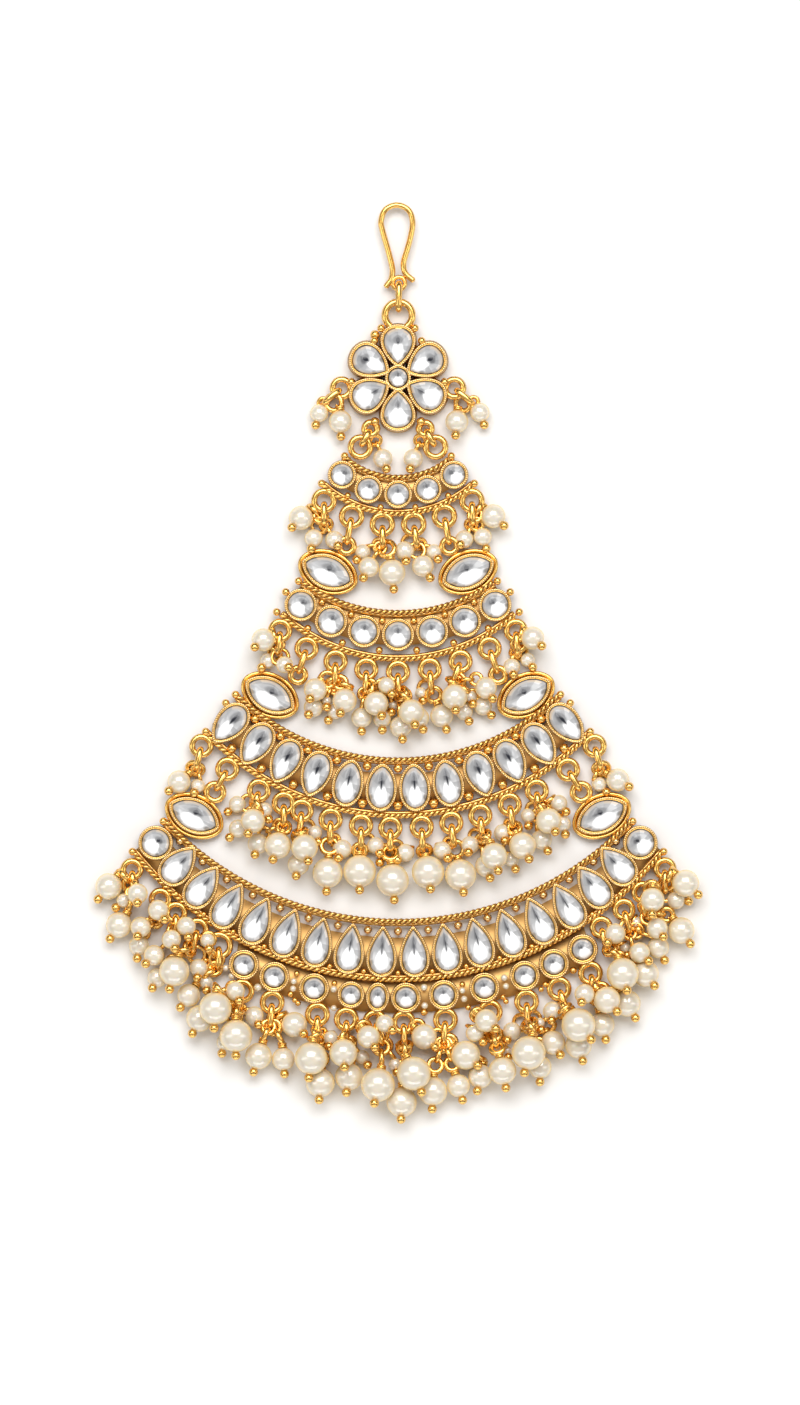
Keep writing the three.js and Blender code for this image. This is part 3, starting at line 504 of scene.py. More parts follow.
def finishes():
    """The colours as they are set."""
    return bpy.context.scene.passa_finishes


# ---------------------------------------------------------------- shapes

# A closed skin, or many alike: points, faces, a shade for each point and a finish number.
Skin = namedtuple("Skin", "points faces shade finish")


def unit(vectors):
    """Vectors divided by their own lengths."""
    return vectors / np.maximum(np.linalg.norm(vectors, axis=-1, keepdims=True), 1e-9)


def skin(grid, ring=False, first=None, last=None, shade=0.0, finish=0):
    """Quads over grids of points, given as copies by rows by columns by xyz.

    Columns always close on themselves. Rows close too where ring is true. The first and
    the last row can be gathered to a pole, one for each copy, by fans of triangles.
    """
    copies, rows, columns = grid.shape[:3]
    numbers = np.arange(rows * columns).reshape(rows, columns)
    near = numbers if ring else numbers[:-1]
    far = np.roll(numbers, -1, 0) if ring else numbers[1:]
    faces = [np.stack([near, np.roll(near, -1, 1), np.roll(far, -1, 1), far], -1).reshape(-1, 4)]
    points = [grid.reshape(copies, -1, 3)]
    shades = [np.broadcast_to(shade, grid.shape[:3]).reshape(copies, -1)]
    count = rows * columns
    for pole, start, end, beside in (
        (first, np.roll(numbers[0], -1), numbers[0], shades[0][:, :1]),
        (last, numbers[-1], np.roll(numbers[-1], -1), shades[0][:, -1:]),
    ):
        if pole is not None:
            faces.append(np.stack([start, end, np.full(columns, count)], -1))
            points.append(np.broadcast_to(pole, (copies, 3))[:, None])
            shades.append(beside)
            count += 1
    offsets = count * np.arange(copies)[:, None, None]
    return Skin(
        np.concatenate(points, 1).reshape(-1, 3),
        [(kind + offsets).reshape(-1, kind.shape[1]) for kind in faces],
        np.concatenate(shades, 1).reshape(-1), finish)


def radial(angles):
    """Directions from an arc's centre: the sine across and minus the cosine along."""
    turn = np.radians(np.asarray(angles, float))
    return np.stack([np.sin(turn), -np.cos(turn), np.zeros_like(turn)], -1)


def on_arc(centre, radius, angles, height=WIRE_LEVEL):
    """Points on an arc: its centre plus the radius times each direction."""
    return radius * radial(angles) + np.array([0.0, centre, height])


def at_height(place, height=0.0):
    """A place across and along, with a height."""
    return np.array([*place[:2], height])


def below(place, distance, lean):
    """The point at a distance from a place, straight down or leaning from it."""
    return at_height(place, WIRE_LEVEL) + distance * radial(lean)


def laid(points, place, turn):
    """Points turned about the upright axis by degrees, then moved to their place."""
    cosine, sine = np.cos(np.radians(turn)), np.sin(np.radians(turn))
    turned = points @ np.array([[cosine, sine, 0.0], [-sine, cosine, 0.0], [0.0, 0.0, 1.0]])
    return turned + at_height(place)


def circle(count, start=0.0):
    """Cosines and sines of evenly spaced angles."""
    turn = start + FULL_TURN * np.arange(count) / count
    return np.cos(turn), np.sin(turn)


def wire(paths, radius, axis=UP, sides=8, ring=False, shade=0.0, finish=0):
    """Round wires: a circle carried square to each path, given as copies by points by xyz.

    The axis is a direction that the path never runs along. Open wires end in a blunt cone.
    """
    run = unit(np.roll(paths, -1, 1) - np.roll(paths, 1, 1) if ring else np.gradient(paths, axis=1))
    side = unit(np.cross(run, np.broadcast_to(axis, run.shape)))
    rise = np.cross(run, side)
    cosine, sine = circle(sides)
    around = side[..., None, :] * cosine[:, None] + rise[..., None, :] * sine[:, None]
    thickness = np.broadcast_to(radius, paths.shape[:2])[..., None, None]
    grid = paths[:, :, None] + thickness * around
    if ring:
        return skin(grid, ring=True, shade=shade, finish=finish)
    cone = run * thickness[:, :1, 0] * 0.5
    return skin(grid, first=paths[:, 0] - cone[:, 0], last=paths[:, -1] + cone[:, -1],
                shade=shade, finish=finish)


def flat_rings(places, outers, thickness, count=28, sides=9):
    """Rings lying flat: closed wires on circles round each place, by their outer radii."""
    loop = np.stack([*circle(count), np.zeros(count)], -1)
    centres = np.array([at_height(place, WIRE_LEVEL) for place in places])
    radii = np.asarray(outers, float) - thickness
    return wire(centres[:, None] + radii[:, None, None] * loop, thickness, sides=sides, ring=True)


def upright_link(start, end, length, count=26):
    """A link on edge: a circle in an upright plane with its halves drawn apart to the length."""
    thickness = gauge("link")
    start, end = at_height(start), at_height(end)
    way = unit(end - start)
    cosine, sine = circle(count, np.pi / count)
    half = LINK_HEIGHT / 2 - thickness
    lengthwise = half * cosine + np.sign(cosine) * (length - LINK_HEIGHT) / 2
    middle = (start + end) / 2 + WIRE_LEVEL * UP
    path = middle + lengthwise[:, None] * way + half * sine[:, None] * UP
    return wire(path[None], thickness, axis=np.cross(way, UP), sides=9, ring=True)


def latitudes(rows):
    """Angles from pole to pole, without the poles."""
    return np.pi * (np.arange(1, rows) / rows - 0.5)


def balls(places, radii, columns, rows, shade=0.0, finish=0):
    """Spheres: rings of latitude from pole to pole, scaled and moved to each place."""
    latitude = latitudes(rows)[:, None]
    cosine, sine = circle(columns)
    ball = np.stack([
        np.cos(latitude) * cosine, np.cos(latitude) * sine,
        np.broadcast_to(np.sin(latitude), (rows - 1, columns))], -1)
    places, radii = np.asarray(places, float), np.asarray(radii, float)
    grid = places[:, None, None] + radii[:, None, None, None] * ball
    poles = [places + side * radii[:, None] * UP for side in (-1, 1)]
    return skin(grid, first=poles[0], last=poles[1], shade=shade, finish=finish)


def pearls_of(places, radii, columns=28, rows=18):
    """Spheres with a painted warm reflection growing from the top to the sides, by a smooth step.
    """
    share = np.clip((0.72 - np.sin(latitudes(rows))) / 0.68, 0, 1)
    return balls(places, radii, columns, rows, shade=(share ** 2 * (3 - 2 * share))[:, None])


def rope(centre, radius, half_angle, dull):
    """A rope wire: two strands winding round an arc, darkened by painted shade the nearer to its
    middle.

    Each strand's path is the arc plus a small circle whose angle grows with the length. The
    shade falls with the way from the arc, measured in radii of a strand.
    """
    strand, lay, sides = gauge("strand"), gauge("lay"), 8
    run = np.radians(2 * half_angle) * radius
    steps = int(run / lay * ROPE_STEPS)
    angles = np.linspace(-half_angle, half_angle, steps)
    wind = FULL_TURN * run / lay * np.linspace(0, 1, steps) + np.array([[0.0], [np.pi]])
    middle = on_arc(centre, radius, angles, ROPE_LEVEL)
    strands = middle + STRAND_REACH * strand * (
        np.cos(wind)[..., None] * radial(angles) + np.sin(wind)[..., None] * UP)
    twisted = wire(strands, strand, sides=sides)
    around = twisted.points.reshape(2, -1, 3)[:, :steps * sides].reshape(2, steps, sides, 3)
    far = np.linalg.norm(around - middle[:, None], axis=-1) / strand
    shade = twisted.shade.reshape(2, -1)
    shade[:, :steps * sides] = (dull + (1 - dull) * np.clip(1.45 - far / 1.15, 0, 1)).reshape(2, -1)
    return twisted._replace(shade=shade.reshape(-1))


def plain_arc(centre, radius, half_angle, thickness, height):
    """A plain wire along an arc."""
    angles = np.linspace(-half_angle, half_angle, 12 + int(half_angle))
    # The wire is darkened by painted shade, as it lies below the rope.
    return wire(on_arc(centre, radius, angles, height)[None], thickness, shade=0.35)


def web_between(first_arc, second_arc, first_share, second_share, high):
    """A low band between two arcs: each of its two edges blends the arcs by its own share.

    An arc is its centre along, its radius and its half angle, or both its end angles.
    """
    arcs = []
    for centre, radius, ends in (first_arc, second_arc):
        first, last = ends if isinstance(ends, tuple) else (-ends, ends)
        arcs.append(on_arc(centre, radius, np.linspace(first, last, 90), 0.0))
    near, far = (arcs[0] + share * (arcs[1] - arcs[0]) for share in (first_share, second_share))
    back, front = WEB_BACK * UP, high * UP
    grid = np.stack([near + back, far + back, far + front, near + front], 1)[None]
    return skin(grid, first=grid[:, 0].mean(1), last=grid[:, -1].mean(1), finish=WEB_GOLD)


def outline(shape, width, length, inset=0.0, count=36):
    """A closed outline, anticlockwise from its tip at the top.

    Across is the sine to the outline's exponent, times the sine of the half angle to its
    taper. Along is the cosine. Both are scaled to the size left by the inset.
    """
    point, taper, tip, foot = OUTLINES[shape]
    angle = FULL_TURN * np.arange(count) / count
    across = -np.sign(np.sin(angle)) * np.abs(np.sin(angle)) ** point * np.sin(angle / 2) ** taper
    across *= (width / 2 - inset) / np.abs(across).max()
    along = (length / 2 - inset * (tip + foot) / 2) * np.cos(angle) - inset * (tip - foot) / 2
    return np.stack([across, along, np.zeros(count)], -1)


# A bezel's wall from the rim of its back, over the lip, to the seat: inset, height, painted shade.
# The inset of its inner slope, which begins at WALL_LIP, is for a rim of the usual width.
# The painted shade is dark low on the wall, behind the beaded wire and down to the stone.
WALL = np.array([
    (0.12, 0.0, 0.8), (0.0, 0.15, 0.8), (0.0, 1.3, 0.4), (0.02, 1.95, 0.0), (0.09, 2.18, 0.0),
    (0.18, 2.22, 0.5), (0.34, 2.28, 0.5), (0.39, 2.42, 0.0), (0.45, 2.45, 0.0),
    (0.53, 2.34, 0.05), (0.6, 2.05, 0.4), (0.63, 1.6, 1.0),
])
WALL_LIP, WALL_SLOPE = 0.3, 0.33


def wall_of(rim, foot):
    """The wall's profile with its inner slope widened to a rim and its back to a foot."""
    rows = WALL.copy()
    slope = rows[:, 0] > WALL_LIP
    widened = (rim - RIM + WALL_SLOPE) / WALL_SLOPE
    rows[slope, 0] = WALL_LIP + (rows[slope, 0] - WALL_LIP) * widened
    if foot:
        # The foot takes painted shade too, darkest where it meets the wall.
        flange = [(0.1 - foot, 0.0, 0.3), (-foot, 0.1, 0.2), (-foot, 0.8, 0.1), (0.0, 1.0, 0.7)]
        rows = np.vstack([flange, rows[2:]])
    return rows


def bezel(shape, width, length, place, turn, count=36, rim=RIM, foot=0.0):
    """A setting: the outline carried up its wall profile, and a beaded wire round its rim."""
    wall = wall_of(rim, foot)
    rows = np.stack([
        outline(shape, width, length, inset, count) + height * UP for inset, height, _ in wall])
    cup = skin(laid(rows, place, turn)[None], first=at_height(place),
               last=at_height(place, WALL[-1, 1]), shade=wall[:, 2:])
    return [cup, beading(shape, width, length, place, turn)]


def beading(shape, width, length, place, turn):
    """A beaded wire: its radius swells and shrinks with the length along the outline."""
    inset, height = BEADED
    fine = outline(shape, width, length, inset, 240)
    steps = np.linalg.norm(np.roll(fine, -1, 0) - fine, axis=1)
    reach = np.concatenate([[0.0], np.cumsum(steps)])
    beads = max(8, round(reach[-1] / gauge("pitch")))
    spots = reach[-1] * np.arange(4 * beads) / (4 * beads)
    closed = np.vstack([fine, fine[:1]])
    path = np.stack([np.interp(spots, reach, closed[:, i]) for i in range(3)], -1) + height * UP
    swell = np.tile([1.0, 0.97, 0.86, 0.97], beads)
    # Painted shade in the gaps between the beads.
    shade = np.tile([0.05, 0.15, 0.7, 0.15], beads)[None, :, None]
    return wire(laid(path, place, turn)[None], gauge("bead") * swell, sides=6, ring=True,
                shade=shade, finish=RIM_GOLD)


# A crystal from its girdle to its table: share of the outline, height.
CROWN = np.array([
    (0.97, 1.5), (1.0, 2.0), (0.93, 2.3), (0.82, 2.52), (0.68, 2.7), (0.52, 2.83), (0.36, 2.92),
    (0.18, 2.98),
])
# Half the height of the painted dark streak of a crystal on its foil map.
STREAKS = {
    "round": 0.2, "almond": 0.42, "pear": 0.42, "petal": 0.22, "egg": 0.36, "marquise": 0.24,
}
GIRDLE_FACETS = 16


def crystal(shape, width, length, place, turn, count=36):
    """A cut crystal: its outline drawn in towards the table, and its place on the foil.

    Returns the skin and, for each point, the share of the way out times the cosine and sine
    of its angle round the outline, with the upper side of the jewel at the top.
    """
    share, height = CROWN.T[:, :, None, None]
    rows = outline(shape, width, length, 0.0, count) * share + height * UP
    ends = [at_height(place, level) for level in (CROWN[0, 1], STONE_TOP)]
    stone = skin(laid(rows, place, turn)[None], first=ends[0], last=ends[1], shade=STREAKS[shape])
    lying = shape == "marquise"
    upright = (np.cos(np.radians(turn - 90 * lying)) > -0.01) != lying
    angle = FULL_TURN * np.arange(count) / count - lying * np.pi / 2
    flat = np.stack([-np.sin(angle), np.cos(angle)], -1) * (1 if upright else -1)
    return stone, np.vstack([(share * flat).reshape(-1, 2), np.zeros((len(ends), 2))])


def set_crystal(shape, width, length, place, turn, rim=RIM):
    """The crystal that fills a bezel, inset by the width of its rim."""
    _, _, tip, foot = OUTLINES[shape]
    shift = laid(np.array([0.0, -rim * (tip - foot) / 2, 0.0]), place, turn)
    return crystal(shape, width - 2 * rim, length - rim * (tip + foot), shift, turn)


# ---------------------------------------------------------------- pieces

def add_piece(name, skins, materials, nodes=(), foil=None):
    """Joins skins into one mesh in the solids' frame and hands it to the frame."""
    starts = np.cumsum([0] + [len(each.points) for each in skins])
    points = (np.concatenate([each.points for each in skins]) - MIDDLE) * MILLIMETRE
    faces, numbers = [], []
    for each, start in zip(skins, starts):
        for kind in each.faces:
            faces += (kind + start).tolist()
            numbers += [each.finish] * len(kind)
    mesh = bpy.data.meshes.new(name)
    mesh.from_pydata(points, [], faces)
    mesh.polygons.foreach_set("material_index", numbers)
    mesh.polygons.foreach_set("use_smooth", [True] * len(faces))
    shade = mesh.attributes.new(SHADE, "FLOAT", "POINT")
    shades = np.concatenate([each.shade for each in skins])
    shade.data.foreach_set("value", shades.astype(np.float32))
    if foil is not None:
        corners = np.zeros(len(mesh.loops), np.int32)
        mesh.loops.foreach_get("vertex_index", corners)
        layer = mesh.uv_layers.new(name="foil")
        layer.uv.foreach_set("vector", foil[corners].astype(np.float32).ravel())
    for material in materials:
        mesh.materials.append(material)
    mesh.update()
    piece = bpy.data.objects.new(name, mesh)
    bpy.context.scene.collection.objects.link(piece)
    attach(piece, "root")
    if nodes:
        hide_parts(*nodes)


def add_gold(name, skins, nodes=()):
    """Joins metal skins into one piece."""
    add_piece(name, skins, gold_finishes(), nodes)


def add_pearls(name, pearls, nodes=()):
    """Makes one piece of many pearls."""
    add_piece(name, [pearls], [shared(pearl_lustre, "Pearl_lustre")], nodes)


def add_stones(name, stones, nodes=()):
    """Joins crystals and their foil maps into one piece."""
    skins, foils = zip(*stones)
    finish = shared(foiled_crystal, "Foiled_crystal")
    add_piece(name, skins, [finish], nodes, np.vstack(foils))


def nodes_named(*starts):
    """The solids whose names begin with one of the given words."""
    found = [node for node in NODES if node.startswith(starts)]
    if not found:
        raise RuntimeError(f"no solid is named {starts}")
    return found


# ---------------------------------------------------------------- finishes

class Sum:
    """A number in a material's nodes, which adds, subtracts and multiplies like any other."""

    def __init__(self, tree, socket):
        self.tree, self.socket = tree, socket

    def __add__(self, other):
        return self.tree.math("ADD", self, other)

    def __sub__(self, other):
        return self.tree.math("SUBTRACT", self, other)

    def __rsub__(self, other):
        return self.tree.math("SUBTRACT", other, self)

    def __mul__(self, other):
        return self.tree.math("MULTIPLY", self, other)

    def __truediv__(self, other):
        return self.tree.math("DIVIDE", self, other)

    __radd__, __rmul__ = __add__, __mul__


class Tree:
    """A material's nodes, made and joined in one line each."""

    def __init__(self, name):
        self.material = bpy.data.materials.new(name)
        self.material.use_nodes = True
        self.nodes = self.material.node_tree.nodes
        self.links = self.material.node_tree.links

    def feed(self, node, inputs):
        """Gives a node's inputs by name, or by number after an underscore."""
        for name, value in inputs.items():
            socket = node.inputs[int(name[1:]) if name[0] == "_" else name.replace("_", " ")]
            if isinstance(value, Sum):
                value = value.socket
            if isinstance(value, bpy.types.NodeSocket):
                self.links.new(value, socket)
            else:
                socket.default_value = value

    def node(self, kind, settings=None, **inputs):
        """A node with its settings and inputs; an input may be a number, a sum or a socket."""
        made = self.nodes.new(kind)
        for name, value in (settings or {}).items():
            setattr(made, name, value)
        self.feed(made, inputs)
        return made

    def surface(self, **inputs):
        """Sets the shader's inputs, and gives the finished material."""
        self.feed(self.nodes["Principled BSDF"], inputs)
        return self.material

    def math(self, operation, first, second=0.0, clamp=False):
        """One sum on two numbers."""
        made = self.node("ShaderNodeMath", {"operation": operation, "use_clamp": clamp},
                         _0=first, _1=second)
        return Sum(self, made.outputs[0])

    def clamp(self, value):
        """A number held between zero and one."""
        return self.math("ADD", value, 0.0, True)

    def far(self, across, along):
        """How far from nought a place is."""
        return self.math("SQRT", across * across + along * along)

    def smooth(self, value, low, high):
        """Zero below low, one above high, and a smooth step between."""
        made = self.node("ShaderNodeMapRange", {"interpolation_type": "SMOOTHSTEP"},
                         Value=value, From_Min=low, From_Max=high)
        return Sum(self, made.outputs["Result"])

    def mix(self, share, first, second):
        """A number between two others."""
        made = self.node("ShaderNodeMix", {"data_type": "FLOAT"}, Factor=share, _2=first, _3=second)
        return Sum(self, made.outputs[0])

    def blend(self, share, first, second):
        """A colour between two others."""
        made = self.node("ShaderNodeMix", {"data_type": "RGBA"}, Factor=share, _6=first, _7=second)
        return made.outputs[2]

    def ramp(self, share, stops):
        """A colour ramp from stops of position and colour."""
        made = self.node("ShaderNodeValToRGB", Fac=share)
        set_stops(made.color_ramp.elements, stops)
        return made.outputs["Color"]

    def attribute(self, name):
        """A number kept on the mesh."""
        made = self.node("ShaderNodeAttribute", {"attribute_name": name})
        return Sum(self, made.outputs["Fac"])

    def chance(self, value):
        """A fixed random number for each value."""
        made = self.node("ShaderNodeTexWhiteNoise", {"noise_dimensions": "1D"}, W=value)
        return Sum(self, made.outputs["Value"])

    def grain(self, scale, detail=2.0):
        """Noise through the solid, in the frame's own coordinates."""
        place = self.node("ShaderNodeTexCoord").outputs["Object"]
        made = self.node("ShaderNodeTexNoise", Vector=place, Scale=scale, Detail=detail)
        return Sum(self, made.outputs["Fac"])

    def bump(self, strength, height):
        """A surface direction tilted by a height."""
        made = self.node("ShaderNodeBump", Strength=strength, Distance=BUMP_DEPTH, Height=height)
        return made.outputs[0]


def set_stops(marks, stops):
    """Places a colour ramp's marks at stops of position and colour."""
    while len(marks) < len(stops):
        marks.new(0.5)
    for mark, (position, value) in zip(marks, stops):
        mark.position = position
        mark.color = value


def opaque(value):
    """A colour with nothing showing through."""
    return (*value, 1.0)


def shared(make, name, *details):
    """A finish made once and used again."""
    return bpy.data.materials.get(name) or make(name, *details)


def gilding(name, bright, roughness, coat):
    """Gilding with painted shade and antique patina in its recesses, faint cloudiness and a
    hand-burnished surface.
    """
    tree = Tree(name)
    # How far the colour goes to the dark recess colour: painted shade and patina, with cloudiness.
    shade_and_patina_amount = tree.clamp(1.25 * tree.attribute(SHADE) + 0.2 * (tree.grain(500.0) - 0.5))
    return tree.surface(
        Base_Color=tree.blend(shade_and_patina_amount, opaque(bright), opaque(finishes().patina_and_shade)),
        Roughness=roughness + 0.2 * shade_and_patina_amount, Metallic=1.0,
        Coat_Weight=coat, Coat_IOR=1.8, Coat_Roughness=0.14,
        Normal=tree.bump(0.05, tree.grain(900.0)))


def gold_finishes():
    """The gildings of every metal piece: smooth metal, beaded rims paler from wear and dull webs.
    """
    base = finishes()
    return [
        shared(gilding, "Gilding", base.gilt, 0.24, 0.6),
        shared(gilding, "Rim_gilding", base.pale, 0.24, 0.6),
        shared(gilding, "Web_gilding", base.web, 0.6, 0.0),
    ]


def pearl_lustre(name):
    """Ivory pearl: soft body, painted warm reflection of the gilt below, under a satin coat."""
    tree = Tree(name)
    base = finishes()
    clouds = tree.grain(260.0)
    painted_gilt_reflection = tree.clamp(tree.attribute(SHADE) + 0.2 * (clouds - 0.5))
    return tree.surface(
        Base_Color=tree.blend(painted_gilt_reflection, opaque(base.pearl), opaque(base.rim_reflection_and_sheen)),
        Roughness=0.3 + 0.12 * clouds,
        Subsurface_Weight=0.25, Subsurface_Radius=(1.0, 0.6, 0.25), Subsurface_Scale=0.0008,
        Coat_Weight=1.0, Coat_IOR=2.2, Coat_Roughness=0.2,
        Sheen_Weight=0.6, Sheen_Roughness=0.5, Sheen_Tint=opaque(base.rim_reflection_and_sheen),
        Normal=tree.bump(0.06, tree.grain(1100.0, 3.0)))


def foiled_crystal(name):
    """Clear cut crystal on silver foil, its reflections painted round each stone from its foil map.

    Its lower middle is one bright, round table, a painted highlight. Above it lies silver grey,
    through which a dark streak, a painted dark reflection, points down, tall or short as the
    attribute says. Facets of different tones run round the girdle, two of them dark, and the edge
    is greyer. Zero is the darkest tone and one the brightest.
    """
    tree = Tree(name)
    place = tree.node("ShaderNodeUVMap", {"uv_map": "foil"}).outputs[0]
    ends = tree.node("ShaderNodeSeparateXYZ", Vector=place).outputs
    across, along = Sum(tree, ends[0]), Sum(tree, ends[1])
    aside, out = tree.math("ABSOLUTE", across), tree.far(across, along)
    reach = tree.attribute(SHADE)

    # Painted light: silver grey, lighter at the sides and below, broken up by facets.
    sector = tree.math("FLOOR", tree.math("ARCTAN2", across, along) * (GIRDLE_FACETS / FULL_TURN))
    facet = tree.chance(sector + tree.math("FLOOR", out * 5.4) * 19.0)
    tone = 0.54 + aside * 0.2 + tree.smooth(along, 0.35, -0.35) * 0.18
    tone = tree.mix(tree.smooth(out, 0.66, 0.78) * 0.75, tone, 0.56 + facet * 0.3)
    tone = tone + (tree.chance(sector) - 0.5) * (tree.smooth(out, 0.2, 0.5) * 0.22)
    corner = tree.far(aside - 0.74, along + 0.5)
    tone = tree.mix(tree.smooth(corner, 0.2, 0.08) * 0.8, tone, 0.36)

    # The table, a painted highlight, narrower on stones with a tall streak.
    narrow = 1.5 + reach * 1.3 + (along + 0.3) * 0.9
    table = tree.far(across * narrow, (along + 0.3) * 1.75)
    tone = tree.mix(tree.smooth(table, 1.08, 0.72), tone, 1.02)

    # The streak, a painted dark reflection shaped like a lens, and the painted shadow beside it.
    rise = (along - 0.3) / reach
    beside = aside - (1.0 - rise * rise) * (0.2 - reach * 0.14)
    shadow = tree.smooth(beside, 0.26, 0.0) * 0.55 * tree.smooth(along, -0.15, 0.3)
    shadow = shadow * tree.smooth(out, 0.85, 0.6)
    tone = tree.mix(tree.math("MAXIMUM", tree.smooth(beside, 0.07, -0.1), shadow), tone, 0.0)
    tone = tree.clamp(tone - tree.smooth(out, 0.92, 1.0) * 0.3)

    base = finishes()
    foil, bright = np.array(base.foil), np.array(base.crystal)
    colours = [opaque(foil + share * (bright - foil)) for share in (0.0, 0.17, 0.5, 1.0)]
    clear = tree.ramp(tone, list(zip((0.0, 0.38, 0.76, 1.0), colours)))
    # Painted reflection of the gilt bezel: towards the edge, some facets take the rim gilding's
    # colour.
    warm = tree.smooth(out, 0.72, 1.0) * tree.smooth(facet, 0.5, 0.9)
    return tree.surface(
        Base_Color=tree.blend(warm * 0.5, clear, opaque(base.pale)),
        Roughness=0.08, Specular_IOR_Level=0.35)


def pale_floor(name):
    """Matt white board with a barely visible tooth."""
    tree = Tree(name)
    base = bpy.context.scene.passa_studio.floor
    shaded = opaque(0.985 * value for value in base)
    return tree.surface(
        Base_Color=tree.blend(tree.grain(40.0), opaque(base), shaded),
        Roughness=0.9, Specular_IOR_Level=0.1)


# ---------------------------------------------------------------- drops

# A pearl before it has settled, with the places that it may hang from.
Pearl = namedtuple("Pearl", "tier layer across along radius tip hangers")
# A drop as it lies: bar number, pearl's middle, radius, ball offset, place it hangs from.
Drop = namedtuple("Drop", "tier middle radius tip hanger")


def fringe_rings(bar):
    """A bar's fringe rings from left to right: place, outer radius, lean."""
    return [
        (on_arc(row.centre, row.radius, angle), row.outer, lean)
        for row in bar.rings for angle, lean in row.columns
    ]


def posts_under_drops():
    """What lies under the drops, as upright posts: across, along, radius, top."""
    posts = []
    for bar in BARS:
        for centre, radius, half_angle in bar.ropes:
            arc = on_arc(centre, radius, np.arange(-half_angle, half_angle + 0.5, 1.0))
            posts += [(*place[:2], ROPE_WIRE, ROPE_TOP) for place in arc]
        for row in bar.rows:
            if row.outline == "round":
                spots = on_arc(row.centre, row.radius, row.angles)
                posts += [(*place[:2], row.width / 2, STONE_TOP) for place in spots]
        for place, outer, lean in fringe_rings(bar):
            posts.append((*place[:2], outer, RING_TOP))
            for share in (0, 0.5, 1):
                spot = below(place, share * DROP_LINK_LENGTH, lean or 0)
                posts.append((*spot[:2], LINK_WIRE, LINK_TOP))
    return np.array(posts)


def hung_pearls():
    """Every pearl of the rosette's drops and the fringes, the lowest layers first."""
    stretches = [
        (0, [below((across, along), HANGING_END, lean)], rows)
        for across, along, lean, rows in ROSETTE_DROPS]
    for tier, (bar, fringe) in enumerate(zip(BARS, FRINGES), 1):
        found = fringe_rings(bar)
        stretches += [
            (tier, [below(found[i][0], HANGING_END, found[i][2]) for i in rings], rows)
            for rings, rows in fringe]
    pearls = [
        Pearl(tier, layer, across, along, radius, tip, hangers)
        for tier, hangers, rows in stretches for layer, across, along, radius, *tip in rows]
    return sorted(pearls, key=lambda pearl: pearl.layer)


def nudged_apart(pearls, posts):
    """Pushes overlapping pearls of one layer apart, and the lowest ones off the posts."""
    places = np.array([[pearl.across, pearl.along] for pearl in pearls])
    pairs, props = [], []
    for i, pearl in enumerate(pearls):
        apart = np.linalg.norm(places[:i] - places[i], axis=1)
        pairs.append([j for j in np.flatnonzero(apart < CROWD) if pearls[j].layer == pearl.layer])
        gaps = np.linalg.norm(posts[:, :2] - places[i], axis=1) - posts[:, 2] - pearl.radius
        props.append(posts[gaps < PROPS] if pearl.layer == 0 else posts[:0])
    for _ in range(NUDGES):
        for i, pearl in enumerate(pearls):
            for j in pairs[i]:
                gap = places[i] - places[j]
                apart = np.hypot(*gap)
                push = max(0, pearl.radius + pearls[j].radius + SKIM - apart) / apart / 2
                places[i] += push * gap
                places[j] -= push * gap
            for across, along, radius, _ in props[i]:
                gap = places[i] - (across, along)
                apart = np.hypot(*gap)
                places[i] += max(0, pearl.radius + radius + SKIM - apart) / apart * gap
    return places


def settled_drops():
    """Each pearl comes down until it rests on the table, a post or a pearl already placed."""
    pearls, posts = hung_pearls(), posts_under_drops()
    places = nudged_apart(pearls, posts)
    heights = np.zeros(len(pearls))
    radii = np.array([pearl.radius for pearl in pearls])
    drops = []
    for i, pearl in enumerate(pearls):
        aside = np.linalg.norm(posts[:, :2] - places[i], axis=1) - posts[:, 2]
        aside = np.maximum(aside, 0)
        under = aside < radii[i]
        rests = posts[under, 3] + SKIM + np.sqrt(radii[i] ** 2 - aside[under] ** 2)
        apart = np.linalg.norm(places[:i] - places[i], axis=1)
        touching = radii[:i] + radii[i] + SKIM
        close = apart < touching
        stacked = heights[:i][close] + np.sqrt(touching[close] ** 2 - apart[close] ** 2)
        heights[i] = max([radii[i], *rests, *stacked])
        hanger = min(pearl.hangers, key=lambda spot: np.hypot(*(spot[:2] - places[i])))
        middle = at_height(places[i], heights[i])
        drops.append(Drop(pearl.tier, middle, radii[i], pearl.tip, hanger))
    for (_, across, along, radius, *tip), loop in INNER_DROPS:
        middle = np.array([across, along, radius])
        drops.append(Drop(0, middle, radius, tip, at_height(loop, WIRE_LEVEL)))
    return drops


def pin_directions(drops):
    """Directions along the headpins to their ball ends, tipped up where they look short."""
    tips = np.array([drop.tip for drop in drops])
    reach = np.array([drop.radius for drop in drops]) + BALL_SEEN * gauge("ball")
    rise = np.sqrt(np.maximum(reach ** 2 - (tips ** 2).sum(1), 0.0))
    return unit(np.column_stack([tips, rise]))


def lifted(points, least):
    """Points raised to a least height, so that nothing sinks into the table."""
    points[..., 2] = np.maximum(points[..., 2], least)
    return points


